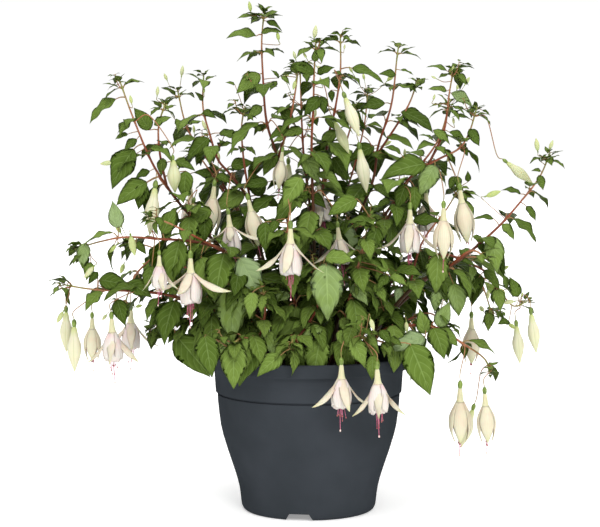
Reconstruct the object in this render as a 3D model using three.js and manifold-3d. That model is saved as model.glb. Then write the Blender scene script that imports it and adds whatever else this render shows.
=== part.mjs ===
// A white fuchsia in a dark nursery pot, as a scene graph.
// Millimetres, +Z up. The origin is on the ground on the pot's axis, and the plant's front faces -Y.
import * as THREE from 'three';
import { mergeVertices } from 'three/addons/utils/BufferGeometryUtils.js';
import Module from 'manifold-3d';

const wasm = await Module();
wasm.setup();

// Pot
const POT_SIDES = 24;
const POT_HEIGHT = 178;
const LIP_RADIUS = 115;
const LIP_DEPTH = 15;
const LIP_WIDTH = 5;
const LIP_CHAMFER = 1.4;
const BAND_TOP_RADIUS = 107.8;
const BAND_FOOT = [106.2, 137.5];
// The tapered body's outside as [radius, height], from the heel up to the step under the band.
const BODY = [[79, 24], [84, 43], [97.6, 85], [104.2, 134]];
const HEEL = [76, 4];
const WALL = 2.4;
const FLOOR_UNDERSIDE = 4;
const FLOOR_TOP = 7;
const FLOOR_RADIUS = 72;
const FOOT_RADIUS = 72;
const FOOT_RING_WIDTH = 4;
const FOOT_RING_CHAMFER = 1;
const NOTCH_COUNT = 3;
const NOTCH_WIDTH_TOP = 22;
const NOTCH_WIDTH_FOOT = 32;
const NOTCH_HEIGHT = 8;
const NOTCH_START = 12;
const NOTCH_LENGTH = 22;
const FIRST_NOTCH_DEGREES = -98.4;
const DRAIN_COUNT = 4;
const DRAIN_SIDES = 6;
const DRAIN_RADIUS = 5;
const DRAIN_CIRCLE_RADIUS = 46;

// Soil and the holes that the stems stand in
const SOIL_TOP = 166;
const SOIL_EDGE_DROP = 4;
const SOIL_EDGE_RADIUS = 107.4;
const CLEARANCE = 0.35;
const OWN_CLEARANCE = 0.05;
const HOLE_DEPTH = 14;
const HOLE_SIDES = 4;
const HOLE_ALLOWANCE = 0.2;

// Stems. Each is a square rod with collars, and its leaves, branches and stalks grow out of their sides.
const SIDES = 4;
const STEM_RISE = 5;
const STEM_FOOT_RADIUS = 3;
const STEM_TIP_RADIUS = 1;
const MAIN_LINE = { bare: 40, footRadius: STEM_FOOT_RADIUS, isRooted: true };
const BRANCH_LINE = { bare: 14, footRadius: 1.7, isRooted: false };
const SPLINE_STEPS = 12;
const SPLINE_TENSION = 0.5;
const NEAR_PLUMB = 0.9;
const COLLAR_HALF_LENGTH = 0.9;
const STALK_RADIUS = 0.8;
const STALK_DROP = 9;
const COLLAR_PULL = 12;

// Leaves: sizes in millimetres, shares of a length, and angles in degrees
const LEAF_TIP_GAP = 10;
const LEAF_SPACING_FOOT = 50;
const LEAF_SPACING_TIP = 38;
const LEAF_TIP_SHARE = 0.45;
const LEAF_GROWING_LENGTH = 130;
const LEAF_LENGTH_RANGE = [0.88, 1.12];
const LEAF_DIP_SPREAD = 26;
const LEAF_TIP_DIP_SHARE = 0.5;
const LEAF_ROLL_SPREAD = 0.5;
const LEAF_RISE_SHARE = 0.55;
const LEAF_HALF_WIDTH = 0.31;
const LEAF_SHAPE = [0.76, 0.85];
const LEAF_FORWARD_DEGREES = 28;
const LEAF_OUTWARD_PULL = 0.3;
const LEAF_ARCH = 0.2;
const LEAF_FOLD = 0.32;
const LEAF_RIB = 0.42;
const PETIOLE_SHARE = 0.2;
const PETIOLE_RADIUS = 0.85;
const PETIOLE_START = 2.5;
const YOUNG_LEAF_LENGTH = 15;
// The edge's corners: the place along the blade, and the width as a share of the plain outline.
const TEETH = [[0.2, 1], [0.5, 1.12], [0.57, 0.92]];
const YOUNG_TEETH = [[0.45, 1]];
// The ways a leaf can bend clear of its neighbours: turn and dip in degrees, and size.
const BENDS = [
  [0, 0, 1], [18, 0, 1], [-18, 0, 1], [0, 20, 1], [0, -20, 1], [30, 15, 0.92], [-30, 15, 0.92],
  [34, -18, 0.9], [-34, -18, 0.9], [0, 38, 0.85], [55, 8, 0.8], [-55, 8, 0.8], [75, 24, 0.72],
  [-75, 24, 0.72],
];

// Flowers: profiles of [radius, distance below the stalk], in millimetres
const OVARY = [[1, 0], [2.5, 4], [1.9, 8]];
const TUBE_END = 24;
const TUBE_END_RADIUS = 4.2;
const COROLLA = [[12, 40]];
const COROLLA_HEM = [10.8, 56];
const COROLLA_HOLLOW = [2, 46];
const SEPAL_COLLAR = 2.5;
const HEM_WAVE = 3;
const SEPAL_COUNT = 4;
const SEPAL_LENGTH = 44;
const SEPAL_HALF_WIDTH = 6.2;
const SEPAL_KNEE = 0.45;
const SEPAL_FOLD = 0.3;
const SEPAL_SHAPE = [0.8, 0.8];
const SEPAL_START = 0.1;
const SEPAL_ROOT_RADIUS = 1;
const SEPAL_OUTLINE = [[0.4, 1]];
const SEPAL_RIB = 0.5;
const SEPAL_THICKNESS = 1.4;
const PISTIL = [[0.8, 47], [0.8, 84]];
const HALF_OPEN = [[4, 20], [10.5, 36], [10.8, 48], [3, 66], [0.8, 68], [0, 82]];
const BUD = [[3.9, 18], [8, 31], [5.4, 45]];
const BUD_END = 58;
const BUD_SIDES = 6;
const BUD_SEAM_SHARE = 0.76;
const COROLLA_SEAM_SHARE = 0.82;

// Draws of numbers
const FIRST_SEED = 41;
const DRAW_FACTOR = 1664525;
const DRAW_STEP = 1013904223;
const DRAW_RANGE = 2 ** 32;

// Every leafy stem: where it leaves the soil, the points it passes, its leaves' length, dip and spacing.
const STEMS = [
  { name: 'front_right', root: [24, -52], leaf: 50, dip: 62, spacing: 0.42,
    path: [[38, -86, 200], [48, -114, 214], [58, -136, 210]],
    branches: [
      { from: 0.25, path: [[42, -70, 235], [55, -86, 290], [66, -94, 338]], leaf: 50 },
      { from: 0.6, path: [[66, -106, 206], [88, -112, 200]], leaf: 48 },
    ] },
  { name: 'front_left', root: [-40, -50], leaf: 54, dip: 66, spacing: 0.42,
    path: [[-56, -78, 196], [-72, -108, 207], [-86, -128, 198]],
    branches: [{ from: 0.3, path: [[-48, -82, 232], [-50, -100, 262]], leaf: 50 }] },
  { name: 'front_centre', root: [-10, -52], leaf: 52, dip: 64, spacing: 0.42,
    path: [[-12, -82, 197], [-16, -112, 208], [-21, -134, 198]],
    branches: [{ from: 0.3, path: [[8, -84, 236], [14, -100, 276]], leaf: 50 }] },
  { name: 'trailing_left', root: [-54, -12], leaf: 46, dip: 46,
    path: [[-103, -48, 226], [-151, -68, 249], [-192, -78, 255], [-238, -74, 257], [-270, -72, 262]],
    branches: [{ from: 0.2, path: [[-110, -40, 212], [-150, -44, 222], [-176, -48, 208]], leaf: 50 }] },
  { name: 'arching_left', root: [-34, -30], leaf: 50, dip: 44,
    path: [[-52, -40, 214], [-69, -60, 260], [-91, -72, 297], [-123, -81, 309], [-162, -91, 313],
      [-198, -91, 315], [-226, -86, 310], [-254, -86, 302]],
    branches: [{ from: 0.52, path: [[-150, -100, 330], [-172, -112, 336]], leaf: 34 }] },
  { name: 'upper_left', root: [-22, -8], leaf: 44, dip: 40,
    path: [[-78, -20, 270], [-117, -32, 320], [-144, -40, 350], [-172, -45, 392], [-194, -45, 444],
      [-209, -45, 486]],
    branches: [{ from: 0.6, path: [[-166, -30, 404], [-168, -22, 436], [-160, -20, 462]], leaf: 34 }] },
  { name: 'left_crown', root: [-16, 18], leaf: 44, dip: 36,
    path: [[-52, 20, 283], [-68, 25, 348], [-90, 25, 381], [-104, 25, 398], [-113, 25, 426],
      [-121, 25, 458], [-120, 25, 496]],
    branches: [{ from: 0.5, path: [[-74, 10, 398], [-76, 4, 436], [-72, 2, 458]], leaf: 30 }] },
  { name: 'tallest', root: [-4, 3], leaf: 44, dip: 32,
    path: [[-21, 0, 306], [-28, 0, 363], [-37, 0, 405], [-48, 0, 443], [-52, 0, 497], [-53, 0, 533],
      [-50, 0, 566]],
    branches: [{ from: 0.62, path: [[-22, -12, 440], [-14, -16, 482], [-13, -18, 502]], leaf: 36 }] },
  { name: 'centre', root: [6, -24], leaf: 48, dip: 40,
    path: [[6, -38, 300], [3, -32, 405], [5, -25, 457], [6, -20, 497], [8, -20, 530]],
    branches: [{ from: 0.12, path: [[-14, -56, 236], [-24, -84, 305], [-18, -100, 366]], leaf: 48 }] },
  { name: 'right_of_centre', root: [12, 18], leaf: 44, dip: 34,
    path: [[15, 20, 340], [22, 20, 420], [30, 15, 455], [36, 15, 497], [36, 15, 540]],
    branches: [{ from: 0.55, path: [[36, 34, 398], [50, 40, 440], [56, 42, 462]], leaf: 32 }] },
  { name: 'right_crown', root: [25, 3], leaf: 46, dip: 34,
    path: [[50, 28, 305], [74, 30, 374], [80, 30, 413], [95, 30, 461], [101, 30, 512], [103, 30, 528]],
    branches: [{ from: 0.66, path: [[112, 22, 456], [124, 16, 488]], leaf: 28 }] },
  { name: 'right_arm', root: [33, -15], leaf: 46, dip: 38,
    path: [[75, -30, 301], [93, -35, 343], [105, -38, 369], [121, -39, 386], [144, -39, 399],
      [167, -39, 411], [178, -39, 429], [186, -39, 456]],
    branches: [{ from: 0.7, path: [[150, -35, 430], [156, -31, 471], [161, -30, 500]], leaf: 34 }] },
  { name: 'far_right', root: [44, -31], leaf: 42, dip: 40,
    path: [[112, -50, 254], [145, -58, 275], [170, -59, 291], [207, -58, 323], [230, -54, 348],
      [254, -50, 378], [266, -50, 406]],
    branches: [{ from: 0.5, path: [[176, -84, 300], [192, -98, 292]], leaf: 40 }] },
  { name: 'trailing_right', root: [46, 7], leaf: 42, dip: 44,
    path: [[127, 10, 255], [166, 0, 281], [198, -5, 273], [218, -5, 248], [233, -5, 232], [248, -8, 238]],
    branches: [{ from: 0.35, path: [[130, 30, 300], [160, 44, 340], [176, 50, 366]], leaf: 42 }] },
  { name: 'low_right', root: [57, -14], leaf: 48, dip: 52,
    path: [[84, -62, 211], [134, -80, 216], [171, -81, 196], [193, -77, 180], [198, -76, 164]],
    branches: [{ from: 0.22, path: [[104, -34, 216], [136, -26, 226], [158, -24, 206]], leaf: 50 }] },
  { name: 'back_left', root: [-28, 38], leaf: 46, dip: 38,
    path: [[-60, 62, 290], [-106, 96, 376], [-144, 122, 432], [-158, 130, 482]],
    branches: [{ from: 0.5, path: [[-108, 84, 372], [-136, 88, 412]], leaf: 42 }] },
  { name: 'back_trailing_left', root: [-50, 22], leaf: 50, dip: 46,
    path: [[-98, 60, 262], [-160, 96, 288], [-204, 112, 264], [-224, 120, 218]],
    branches: [{ from: 0.3, path: [[-140, 50, 270], [-184, 52, 296], [-214, 54, 300]], leaf: 46 }] },
  { name: 'back_centre', root: [0, 40], leaf: 48, dip: 36,
    path: [[4, 80, 310], [-6, 108, 410], [-10, 122, 510]],
    branches: [{ from: 0.3, path: [[44, 96, 356], [66, 118, 432], [72, 126, 484]], leaf: 42 }] },
  { name: 'back_right', root: [26, 36], leaf: 46, dip: 38,
    path: [[70, 66, 296], [118, 98, 370], [156, 122, 420], [172, 130, 470]],
    branches: [{ from: 0.4, path: [[118, 78, 352], [152, 84, 388]], leaf: 42 }] },
  { name: 'back_trailing_right', root: [49, 29], leaf: 50, dip: 48,
    path: [[104, 68, 262], [166, 102, 284], [206, 116, 252], [224, 124, 208]],
    branches: [{ from: 0.3, path: [[148, 64, 262], [192, 62, 284], [222, 60, 268]], leaf: 46 }] },
  { name: 'back_low', root: [6, 62], leaf: 52, dip: 58,
    path: [[10, 104, 236], [14, 131, 252], [16, 148, 226], [16, 154, 190]],
    branches: [
      { from: 0.3, path: [[-42, 114, 258], [-84, 138, 264], [-100, 148, 240]], leaf: 48 },
      { from: 0.34, path: [[62, 118, 262], [100, 140, 262]], leaf: 48 },
    ] },
];

// Every flower and large bud: the stem it hangs from, how far along, where its stalk ends, how it leans
// over X and Y, its size, and how far the sepals of an open one stand out.
const FLOWERS = [
  { name: 'bud_far_left_back', stem: 'trailing_left', from: 0.93, at: [-271, -40, 236],
    kind: 'bud', size: 0.9 },
  { name: 'bud_far_left', stem: 'trailing_left', from: 0.86, at: [-259, -63, 223], kind: 'bud', size: 1 },
  { name: 'bloom_left_low_half', stem: 'trailing_left', from: 0.82, at: [-239, -64, 231],
    kind: 'half', size: 0.8 },
  { name: 'bloom_left_low', stem: 'trailing_left', from: 0.74, at: [-215, -90, 234], lean: [0.04, 0],
    kind: 'open', size: 0.94, flare: [26, 42], spin: 20 },
  { name: 'bloom_left', stem: 'arching_left', from: 0.58, at: [-127, -114, 302], kind: 'open', size: 1,
    flare: [54, 66], spin: 8 },
  { name: 'bloom_left_high', stem: 'arching_left', from: 0.7, at: [-160, -120, 303], kind: 'open', size: 0.72,
    flare: [26, 36], spin: 40 },
  { name: 'bud_upper_left', stem: 'upper_left', from: 0.66, at: [-168, -62, 376], lean: [-0.12, 0],
    kind: 'bud', size: 1.05 },
  { name: 'bud_upper_left_round', stem: 'upper_left', from: 0.82, at: [-150, -56, 404], lean: [0.06, 0],
    kind: 'bud', size: 0.72 },
  { name: 'bud_left_inner', stem: 'upper_left', from: 0.58, at: [-128, -24, 356], lean: [-0.3, 0],
    kind: 'bud', size: 0.84 },
  { name: 'bud_left_long', stem: 'left_crown', from: 0.72, at: [-106, -8, 376], lean: [-0.1, 0],
    kind: 'half', size: 0.94 },
  { name: 'bloom_left_inner', stem: 'left_crown', from: 0.62, at: [-90, -44, 345], lean: [0.1, -0.1],
    kind: 'open', size: 0.9, flare: [52, 72], spin: 25 },
  { name: 'bud_centre_left', stem: 'tallest', from: 0.55, at: [-69, -34, 361], lean: [0.22, 0],
    kind: 'half', size: 0.9 },
  { name: 'bud_centre_high', stem: 'tallest', from: 0.66, at: [-29, -22, 413], lean: [-0.1, 0],
    kind: 'half', size: 0.72 },
  { name: 'bloom_centre', stem: 'centre', branch: 0, from: 0.96, at: [-20, -118, 334],
    kind: 'open', size: 1.02, flare: [40, 50], spin: 12 },
  { name: 'bloom_centre_right', stem: 'centre', from: 0.5, at: [31, -54, 331], lean: [0.12, 0],
    kind: 'open', size: 0.86, flare: [40, 60], spin: 35 },
  { name: 'bud_right_of_centre', stem: 'centre', from: 0.82, at: [27, -10, 446], lean: [0.45, 0],
    kind: 'bud', size: 0.78 },
  { name: 'bloom_behind_centre', stem: 'right_of_centre', from: 0.58, at: [10, 2, 376], lean: [0.14, 0],
    kind: 'open', size: 0.86, flare: [26, 34], spin: 10 },
  { name: 'bud_high_right', stem: 'right_of_centre', from: 0.84, at: [38, -26, 474], lean: [0.36, -0.12],
    kind: 'bud', size: 0.92 },
  { name: 'bud_right_long', stem: 'right_crown', from: 0.7, at: [56, -14, 418], lean: [0.16, 0],
    kind: 'bud', size: 1 },
  { name: 'bloom_right', stem: 'right_arm', from: 0.56, at: [111, -62, 352], kind: 'open', size: 0.98,
    flare: [38, 48], spin: 14 },
  { name: 'bloom_right_half', stem: 'right_arm', from: 0.72, at: [147, -72, 354], kind: 'half', size: 0.96 },
  { name: 'bloom_right_high', stem: 'right_arm', from: 0.82, at: [166, -48, 373], lean: [0.14, 0],
    kind: 'half', size: 1 },
  { name: 'bud_far_right', stem: 'right_arm', from: 0.9, at: [216, -32, 399], lean: [1.25, 0],
    kind: 'bud', size: 0.74 },
  { name: 'bud_right_low', stem: 'trailing_right', from: 0.94, at: [236, -2, 216], lean: [0.1, 0],
    kind: 'bud', size: 0.86 },
  { name: 'bud_right_low_outer', stem: 'trailing_right', from: 0.96, at: [249, -27, 232], lean: [0.14, 0],
    kind: 'bud', size: 0.88 },
  { name: 'bloom_low_right', stem: 'low_right', from: 0.78, at: [165, -86, 158], kind: 'half', size: 1.02 },
  { name: 'bud_low_right', stem: 'low_right', from: 0.9, at: [184, -56, 128], lean: [-0.3, 0],
    kind: 'bud', size: 0.88 },
  { name: 'bloom_low_right_outer', stem: 'low_right', from: 0.98, at: [190, -100, 153], lean: [0.06, 0],
    kind: 'half', size: 0.9 },
  { name: 'bloom_front', stem: 'front_right', from: 0.82, at: [34, -140, 190], kind: 'open', size: 0.94,
    flare: [32, 46], spin: 38 },
  { name: 'bloom_front_right', stem: 'front_right', from: 0.97, at: [71, -152, 187], lean: [0.04, 0],
    kind: 'open', size: 0.96, flare: [26, 38], spin: 20 },
  { name: 'bloom_back_left', stem: 'back_left', from: 0.7, at: [-140, 92, 372], kind: 'open', size: 0.95,
    flare: [40, 55], spin: 10 },
  { name: 'bloom_back_trailing_left', stem: 'back_trailing_left', from: 0.84, at: [-212, 92, 226],
    kind: 'open', size: 0.95, flare: [34, 50], spin: 30 },
  { name: 'bud_back_centre', stem: 'back_centre', from: 0.72, at: [-24, 134, 400], kind: 'bud', size: 0.95 },
  { name: 'bloom_back_right', stem: 'back_right', from: 0.7, at: [140, 92, 366], kind: 'open', size: 0.95,
    flare: [44, 60], spin: 0 },
  { name: 'bud_back_trailing_right', stem: 'back_trailing_right', from: 0.86, at: [200, 142, 212],
    kind: 'half', size: 0.95 },
  { name: 'bloom_back_low', stem: 'back_low', from: 0.86, at: [-8, 150, 190], kind: 'open', size: 0.95,
    flare: [30, 44], spin: 15 },
];

const UP = new THREE.Vector3(0, 0, 1);
const radians = THREE.MathUtils.degToRad;
const vector = (xyz) => new THREE.Vector3(...xyz);
const mix = (a, b, t) => a + (b - a) * t;

// A seeded draw of numbers from 0 to 1.
function drawsFrom(seed) {
  let state = seed;
  return () => {
    state = (state * DRAW_FACTOR + DRAW_STEP) % DRAW_RANGE;
    return state / DRAW_RANGE;
  };
}

// A row of straight chords, read by distance from its start.
class Line {
  constructor(points) {
    this.points = points;
    this.distances = [0];
    for (let i = 1; i < points.length; i += 1) {
      this.distances.push(this.distances[i - 1] + points[i].distanceTo(points[i - 1]));
    }
    this.length = this.distances.at(-1);
  }

  at(distance) {
    let i = 1;
    while (i < this.points.length - 1 && this.distances[i] < distance) i += 1;
    const share = (distance - this.distances[i - 1]) / (this.distances[i] - this.distances[i - 1]);
    const point = this.points[i - 1].clone().lerp(this.points[i], share);
    const along = this.points[i].clone().sub(this.points[i - 1]).normalize();
    return { point, along };
  }
}

// A closed skin under construction. A loop is a row of corner numbers that runs anticlockwise as seen
// from outside, and whatever grows from it takes the place of the face that it bounds.
class Skin {
  constructor() {
    this.corners = [];
    this.triangles = [];
  }

  add(points) {
    return points.map((point) => this.corners.push(point) - 1);
  }

  close(loop) {
    for (let k = 1; k < loop.length - 1; k += 1) this.triangles.push(loop[0], loop[k], loop[k + 1]);
  }

  // The walls from one ring to the next, either of which may be a single point, without the open sides.
  join(lower, upper, open = []) {
    const sides = Math.max(lower.length, upper.length);
    for (let k = 0; k < sides; k += 1) {
      const below = [k, k + 1].map((turn) => lower[turn % lower.length]);
      const above = [k + 1, k].map((turn) => upper[turn % upper.length]);
      if (!open.includes(k)) this.close([...new Set([...below, ...above])]);
    }
  }

  // The same loop, started where it lies nearest to the points that it will meet.
  aligned(loop, points) {
    const apart = (shift) => points
      .reduce((sum, point, k) => sum + point.distanceTo(this.corners[loop[(k + shift) % loop.length]]), 0);
    const shifts = loop.map((_, shift) => shift).sort((a, b) => apart(a) - apart(b));
    return loop.map((_, k) => loop[(k + shifts[0]) % loop.length]);
  }

  geometry() {
    const positions = new Float32Array(this.corners.flatMap((corner) => corner.toArray()));
    const geometry = new THREE.BufferGeometry()
      .setAttribute('position', new THREE.BufferAttribute(positions, 3))
      .setIndex(this.triangles);
    geometry.computeVertexNormals();
    return geometry;
  }
}

function solidOf(geometry) {
  const bare = geometry.clone();
  bare.deleteAttribute('normal');
  bare.deleteAttribute('uv');
  const merged = mergeVertices(bare, 1e-4);
  return new wasm.Manifold(new wasm.Mesh({
    numProp: 3,
    vertProperties: new Float32Array(merged.attributes.position.array),
    triVerts: new Uint32Array(merged.index.array),
  }));
}

function geometryFrom(solid) {
  const { vertProperties, triVerts } = solid.getMesh();
  const geometry = new THREE.BufferGeometry()
    .setAttribute('position', new THREE.BufferAttribute(vertProperties, 3))
    .setIndex(new THREE.BufferAttribute(triVerts, 1));
  geometry.computeVertexNormals();
  return geometry;
}

// Triangles that fill the gap between two rows of { id, u }, both in order of u.
function stripBetween(left, right, triangles) {
  let i = 0;
  let j = 0;
  while (i < left.length - 1 || j < right.length - 1) {
    const stepLeft = j === right.length - 1 || (i < left.length - 1 && left[i + 1].u <= right[j + 1].u);
    const corners = stepLeft
      ? [left[i].id, right[j].id, left[i + 1].id]
      : [left[i].id, right[j].id, right[j + 1].id];
    if (new Set(corners).size === 3) triangles.push(...corners);
    if (stepLeft) i += 1;
    else j += 1;
  }
}

// A thin blade with sharp edges that grows out of a loop of four corners. `at(u, side)` gives a point of
// its upper face, where side runs from -1 to 1, `outline` its edge's corners as [u, side], and `rib` the
// place of the rib's middle. `keel` is the point under that middle where the underside isn't straight, and
// `root` gives the points that the loop's corners lie nearest to.
function growBlade(skin, loop, { at, outline, rib, keel = [], root }) {
  const [overLeft, overRight, underRight, underLeft] = skin.aligned(loop, root);
  const row = (start, points) => {
    const ids = skin.add(points.map(([u, side]) => at(u, side)));
    return [{ u: 0, id: start }, ...ids.map((id, i) => ({ u: points[i][0], id }))];
  };
  const left = row(overLeft, outline);
  const right = row(overRight, outline.map(([u, side]) => [u, -side]));
  const [middle, tip] = skin.add([at(rib, 0), at(1, 0)]);
  const end = { u: 1, id: tip };
  const top = [{ u: rib, id: middle }, end];
  const under = [...skin.add(keel).map((id) => ({ u: rib, id })), end];
  skin.triangles.push(overLeft, overRight, middle, underLeft, under[0].id, underRight);
  stripBetween([...left, end], top, skin.triangles);
  stripBetween(top, [...right, end], skin.triangles);
  stripBetween([{ u: 0, id: underLeft }, ...under], [...left, end], skin.triangles);
  stripBetween([...right, end], [{ u: 0, id: underRight }, ...under], skin.triangles);
}

// The four points round `point` that a blade's root has, in a loop.
function rootOf(point, across, face, radius) {
  return [[1, 1], [-1, 1], [-1, -1], [1, -1]].map(([side, rise]) => point.clone()
    .addScaledVector(across, side * radius)
    .addScaledVector(face, rise * radius));
}

// The half width of a leaf and of a sepal at u, as a share of the widest.
const outlineOf = (u, [skew, fullness]) => Math.sin(Math.PI * u ** skew) ** fullness;
const leafOutline = (u) => outlineOf(u, LEAF_SHAPE);
const sepalOutline = (u) => outlineOf(mix(SEPAL_START, 1, u), SEPAL_SHAPE);

// The way a leaf lies that leaves `from` towards `aside`, on a stem that runs `along`.
function leafFrame({ from, along, aside, dip, roll }) {
  const forward = radians(LEAF_FORWARD_DEGREES);
  const out = aside.clone().multiplyScalar(Math.cos(forward)).addScaledVector(along, Math.sin(forward));
  const outward = new THREE.Vector3(from.x, from.y, 0);
  if (outward.length() > 1) outward.normalize();
  out.addScaledVector(outward, LEAF_OUTWARD_PULL).normalize();
  const heading = Math.atan2(out.y, out.x);
  const rise = LEAF_RISE_SHARE * Math.asin(out.z) - dip;
  const ahead = new THREE.Vector3(
    Math.cos(heading) * Math.cos(rise), Math.sin(heading) * Math.cos(rise), Math.sin(rise));
  const level = new THREE.Vector3(-Math.sin(heading), Math.cos(heading), 0);
  const face = ahead.clone().cross(level);
  const tilted = face.multiplyScalar(Math.cos(roll)).addScaledVector(level, Math.sin(roll));
  return { from, out, ahead, face: tilted, across: tilted.clone().cross(ahead) };
}

// A leaf's blade, whose stalk widens into it.
function leafBlade({ from, out, ahead, face, across }, length, teeth) {
  const start = from.clone().addScaledVector(out, PETIOLE_SHARE * length);
  const at = (u, side) => {
    const width = LEAF_HALF_WIDTH * length * leafOutline(u);
    return start.clone()
      .addScaledVector(ahead, length * u)
      .addScaledVector(across, side * width)
      .addScaledVector(face, Math.abs(side) * LEAF_FOLD * width - LEAF_ARCH * length * u * u);
  };
  return {
    at,
    outline: teeth,
    rib: LEAF_RIB,
    root: rootOf(from, across, face, PETIOLE_RADIUS),
  };
}

// A ring of a hanging form: `shape` changes each corner's [radius, distance below the stalk].
function ringBelow([radius, below], sides, shape = (k, row) => row, shift = 0) {
  if (radius === 0) return [new THREE.Vector3(0, 0, -below)];
  return Array.from({ length: sides }, (_, k) => {
    const [wide, low] = shape(k, [radius, below]);
    const turn = (2 * Math.PI * (k + shift)) / sides;
    return new THREE.Vector3(wide * Math.cos(turn), -wide * Math.sin(turn), -low);
  });
}

// The skin of a hanging form, from its flat top down, with the sides of one collar left open.
function hang(skin, rings, openAfter, open) {
  const loops = rings.map((ring) => skin.add(ring));
  skin.close(loops[0].toReversed());
  loops.slice(1).forEach((loop, i) => skin.join(loops[i], loop, i === openAfter ? open : []));
  if (loops.at(-1).length > 1) skin.close(loops.at(-1));
  return loops;
}

// A bud or flower in its own frame: it hangs along -Z from the end of its stalk.
function budForm() {
  const skin = new Skin();
  hang(skin, [...OVARY, ...BUD, [0, BUD_END]].map((row) => ringBelow(row, BUD_SIDES)));
  return skin.geometry();
}

function halfOpenForm() {
  const skin = new Skin();
  const seams = (k, [radius, below]) => {
    const isSeam = k % 2 === 1 && below > TUBE_END;
    return [isSeam ? BUD_SEAM_SHARE * radius : radius, below];
  };
  hang(skin, [...OVARY, ...HALF_OPEN].map((row) => ringBelow(row, 2 * SEPAL_COUNT, seams)));
  return skin.geometry();
}

// One sepal's blade, which bends out by `flare`, its first and last angle from plumb.
function sepalBlade(turn, [first, last]) {
  const out = new THREE.Vector3(Math.cos(turn), Math.sin(turn), 0);
  const across = new THREE.Vector3(-Math.sin(turn), Math.cos(turn), 0);
  const heading = (degrees) => out.clone().multiplyScalar(Math.sin(radians(degrees)))
    .addScaledVector(UP, -Math.cos(radians(degrees)));
  const root = out.clone().multiplyScalar(TUBE_END_RADIUS).setZ(-TUBE_END);
  const knee = root.clone().addScaledVector(heading(first), SEPAL_KNEE * SEPAL_LENGTH);
  const end = knee.clone().addScaledVector(heading(last), (1 - SEPAL_KNEE) * SEPAL_LENGTH);
  const line = new THREE.QuadraticBezierCurve3(root, knee, end);
  const face = (u) => line.getTangent(u).cross(across);
  const at = (u, side) => {
    const width = SEPAL_HALF_WIDTH * sepalOutline(u);
    return line.getPoint(u)
      .addScaledVector(across, side * width)
      .addScaledVector(face(u), -SEPAL_FOLD * Math.abs(side) * width);
  };
  return {
    at,
    outline: SEPAL_OUTLINE,
    rib: SEPAL_RIB,
    keel: [line.getPoint(SEPAL_RIB).addScaledVector(face(SEPAL_RIB), -SEPAL_THICKNESS)],
    root: rootOf(root, across, face(0), SEPAL_ROOT_RADIUS),
  };
}

function openForm(flare) {
  const skin = new Skin();
  const sides = 2 * SEPAL_COUNT;
  const petals = (k, [radius, below]) => {
    const wave = below === COROLLA_HEM[1] ? HEM_WAVE * (k % 2 ? 1 : -1) : 0;
    return [k % 2 ? radius : COROLLA_SEAM_SHARE * radius, below + wave];
  };
  const tube = [...OVARY, [TUBE_END_RADIUS, TUBE_END - SEPAL_COLLAR], [TUBE_END_RADIUS, TUBE_END]];
  const rings = [
    ...tube.map((row) => ringBelow(row, sides)),
    ...[...COROLLA, COROLLA_HEM].map((row) => ringBelow(row, sides, petals, 0.5)),
    ...[COROLLA_HOLLOW, ...PISTIL].map((row) => ringBelow(row, sides, undefined, 0.5)),
  ];
  const open = Array.from({ length: SEPAL_COUNT }, (_, k) => 2 * k);
  const collar = tube.length - 2;
  const loops = hang(skin, rings, collar, open);
  open.forEach((k) => {
    const [above, below] = [loops[collar], loops[collar + 1]];
    const next = (k + 1) % sides;
    const turn = (-2 * Math.PI * (k + 0.5)) / sides;
    growBlade(skin, [above[k], above[next], below[next], below[k]], sepalBlade(turn, flare));
  });
  return skin.geometry();
}

function flowerForm({ kind, flare }) {
  if (kind === 'open') return openForm(flare);
  return kind === 'half' ? halfOpenForm() : budForm();
}

// What already stands in the air, and so has to be kept clear of.
const standing = [];

function boxesMeet(a, b) {
  return [0, 1, 2].every((i) => a.min[i] - CLEARANCE < b.max[i] && b.min[i] - CLEARANCE < a.max[i]);
}

function isClear(solid, allowed, clearance = CLEARANCE) {
  const box = solid.boundingBox();
  return standing.every((other) => allowed(other)
    || !boxesMeet(box, other.box)
    || solid.minGap(other.solid, clearance) >= clearance);
}

function stand(solid, owner, group) {
  standing.push({ solid, owner, group, box: solid.boundingBox() });
  return solid;
}

function pot() {
  const lipFoot = POT_HEIGHT - LIP_DEPTH;
  const ringInside = FOOT_RADIUS - FOOT_RING_WIDTH;
  const outside = [
    [0, FLOOR_UNDERSIDE], [ringInside - FOOT_RING_CHAMFER, FLOOR_UNDERSIDE],
    [ringInside, 0], [FOOT_RADIUS, 0], HEEL, ...BODY,
    BAND_FOOT, [BAND_TOP_RADIUS, lipFoot], [LIP_RADIUS, lipFoot + LIP_CHAMFER], [LIP_RADIUS, POT_HEIGHT],
  ];
  const inside = [
    [LIP_RADIUS - LIP_WIDTH, POT_HEIGHT], [BAND_TOP_RADIUS - WALL, lipFoot],
    ...BODY.toReversed().map(([radius, z]) => [radius - WALL, z]), [FLOOR_RADIUS, FLOOR_TOP], [0, FLOOR_TOP],
  ];
  const profile = [...outside, ...inside].map(([radius, z]) => new THREE.Vector2(radius, z));
  let solid = solidOf(new THREE.LatheGeometry(profile, POT_SIDES).rotateX(Math.PI / 2));
  for (let k = 0; k < NOTCH_COUNT; k += 1) {
    const turn = FIRST_NOTCH_DEGREES + (360 * k) / NOTCH_COUNT;
    solid = solid.subtract(solidOf(notch().rotateZ(radians(turn))));
  }
  for (let k = 0; k < DRAIN_COUNT; k += 1) {
    const turn = (2 * Math.PI * k) / DRAIN_COUNT;
    const drain = new THREE.CylinderGeometry(DRAIN_RADIUS, DRAIN_RADIUS, 3 * FLOOR_TOP, DRAIN_SIDES)
      .rotateX(Math.PI / 2)
      .translate(DRAIN_CIRCLE_RADIUS * Math.cos(turn), DRAIN_CIRCLE_RADIUS * Math.sin(turn), FLOOR_TOP);
    solid = solid.subtract(solidOf(drain));
  }
  return solid;
}

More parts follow.
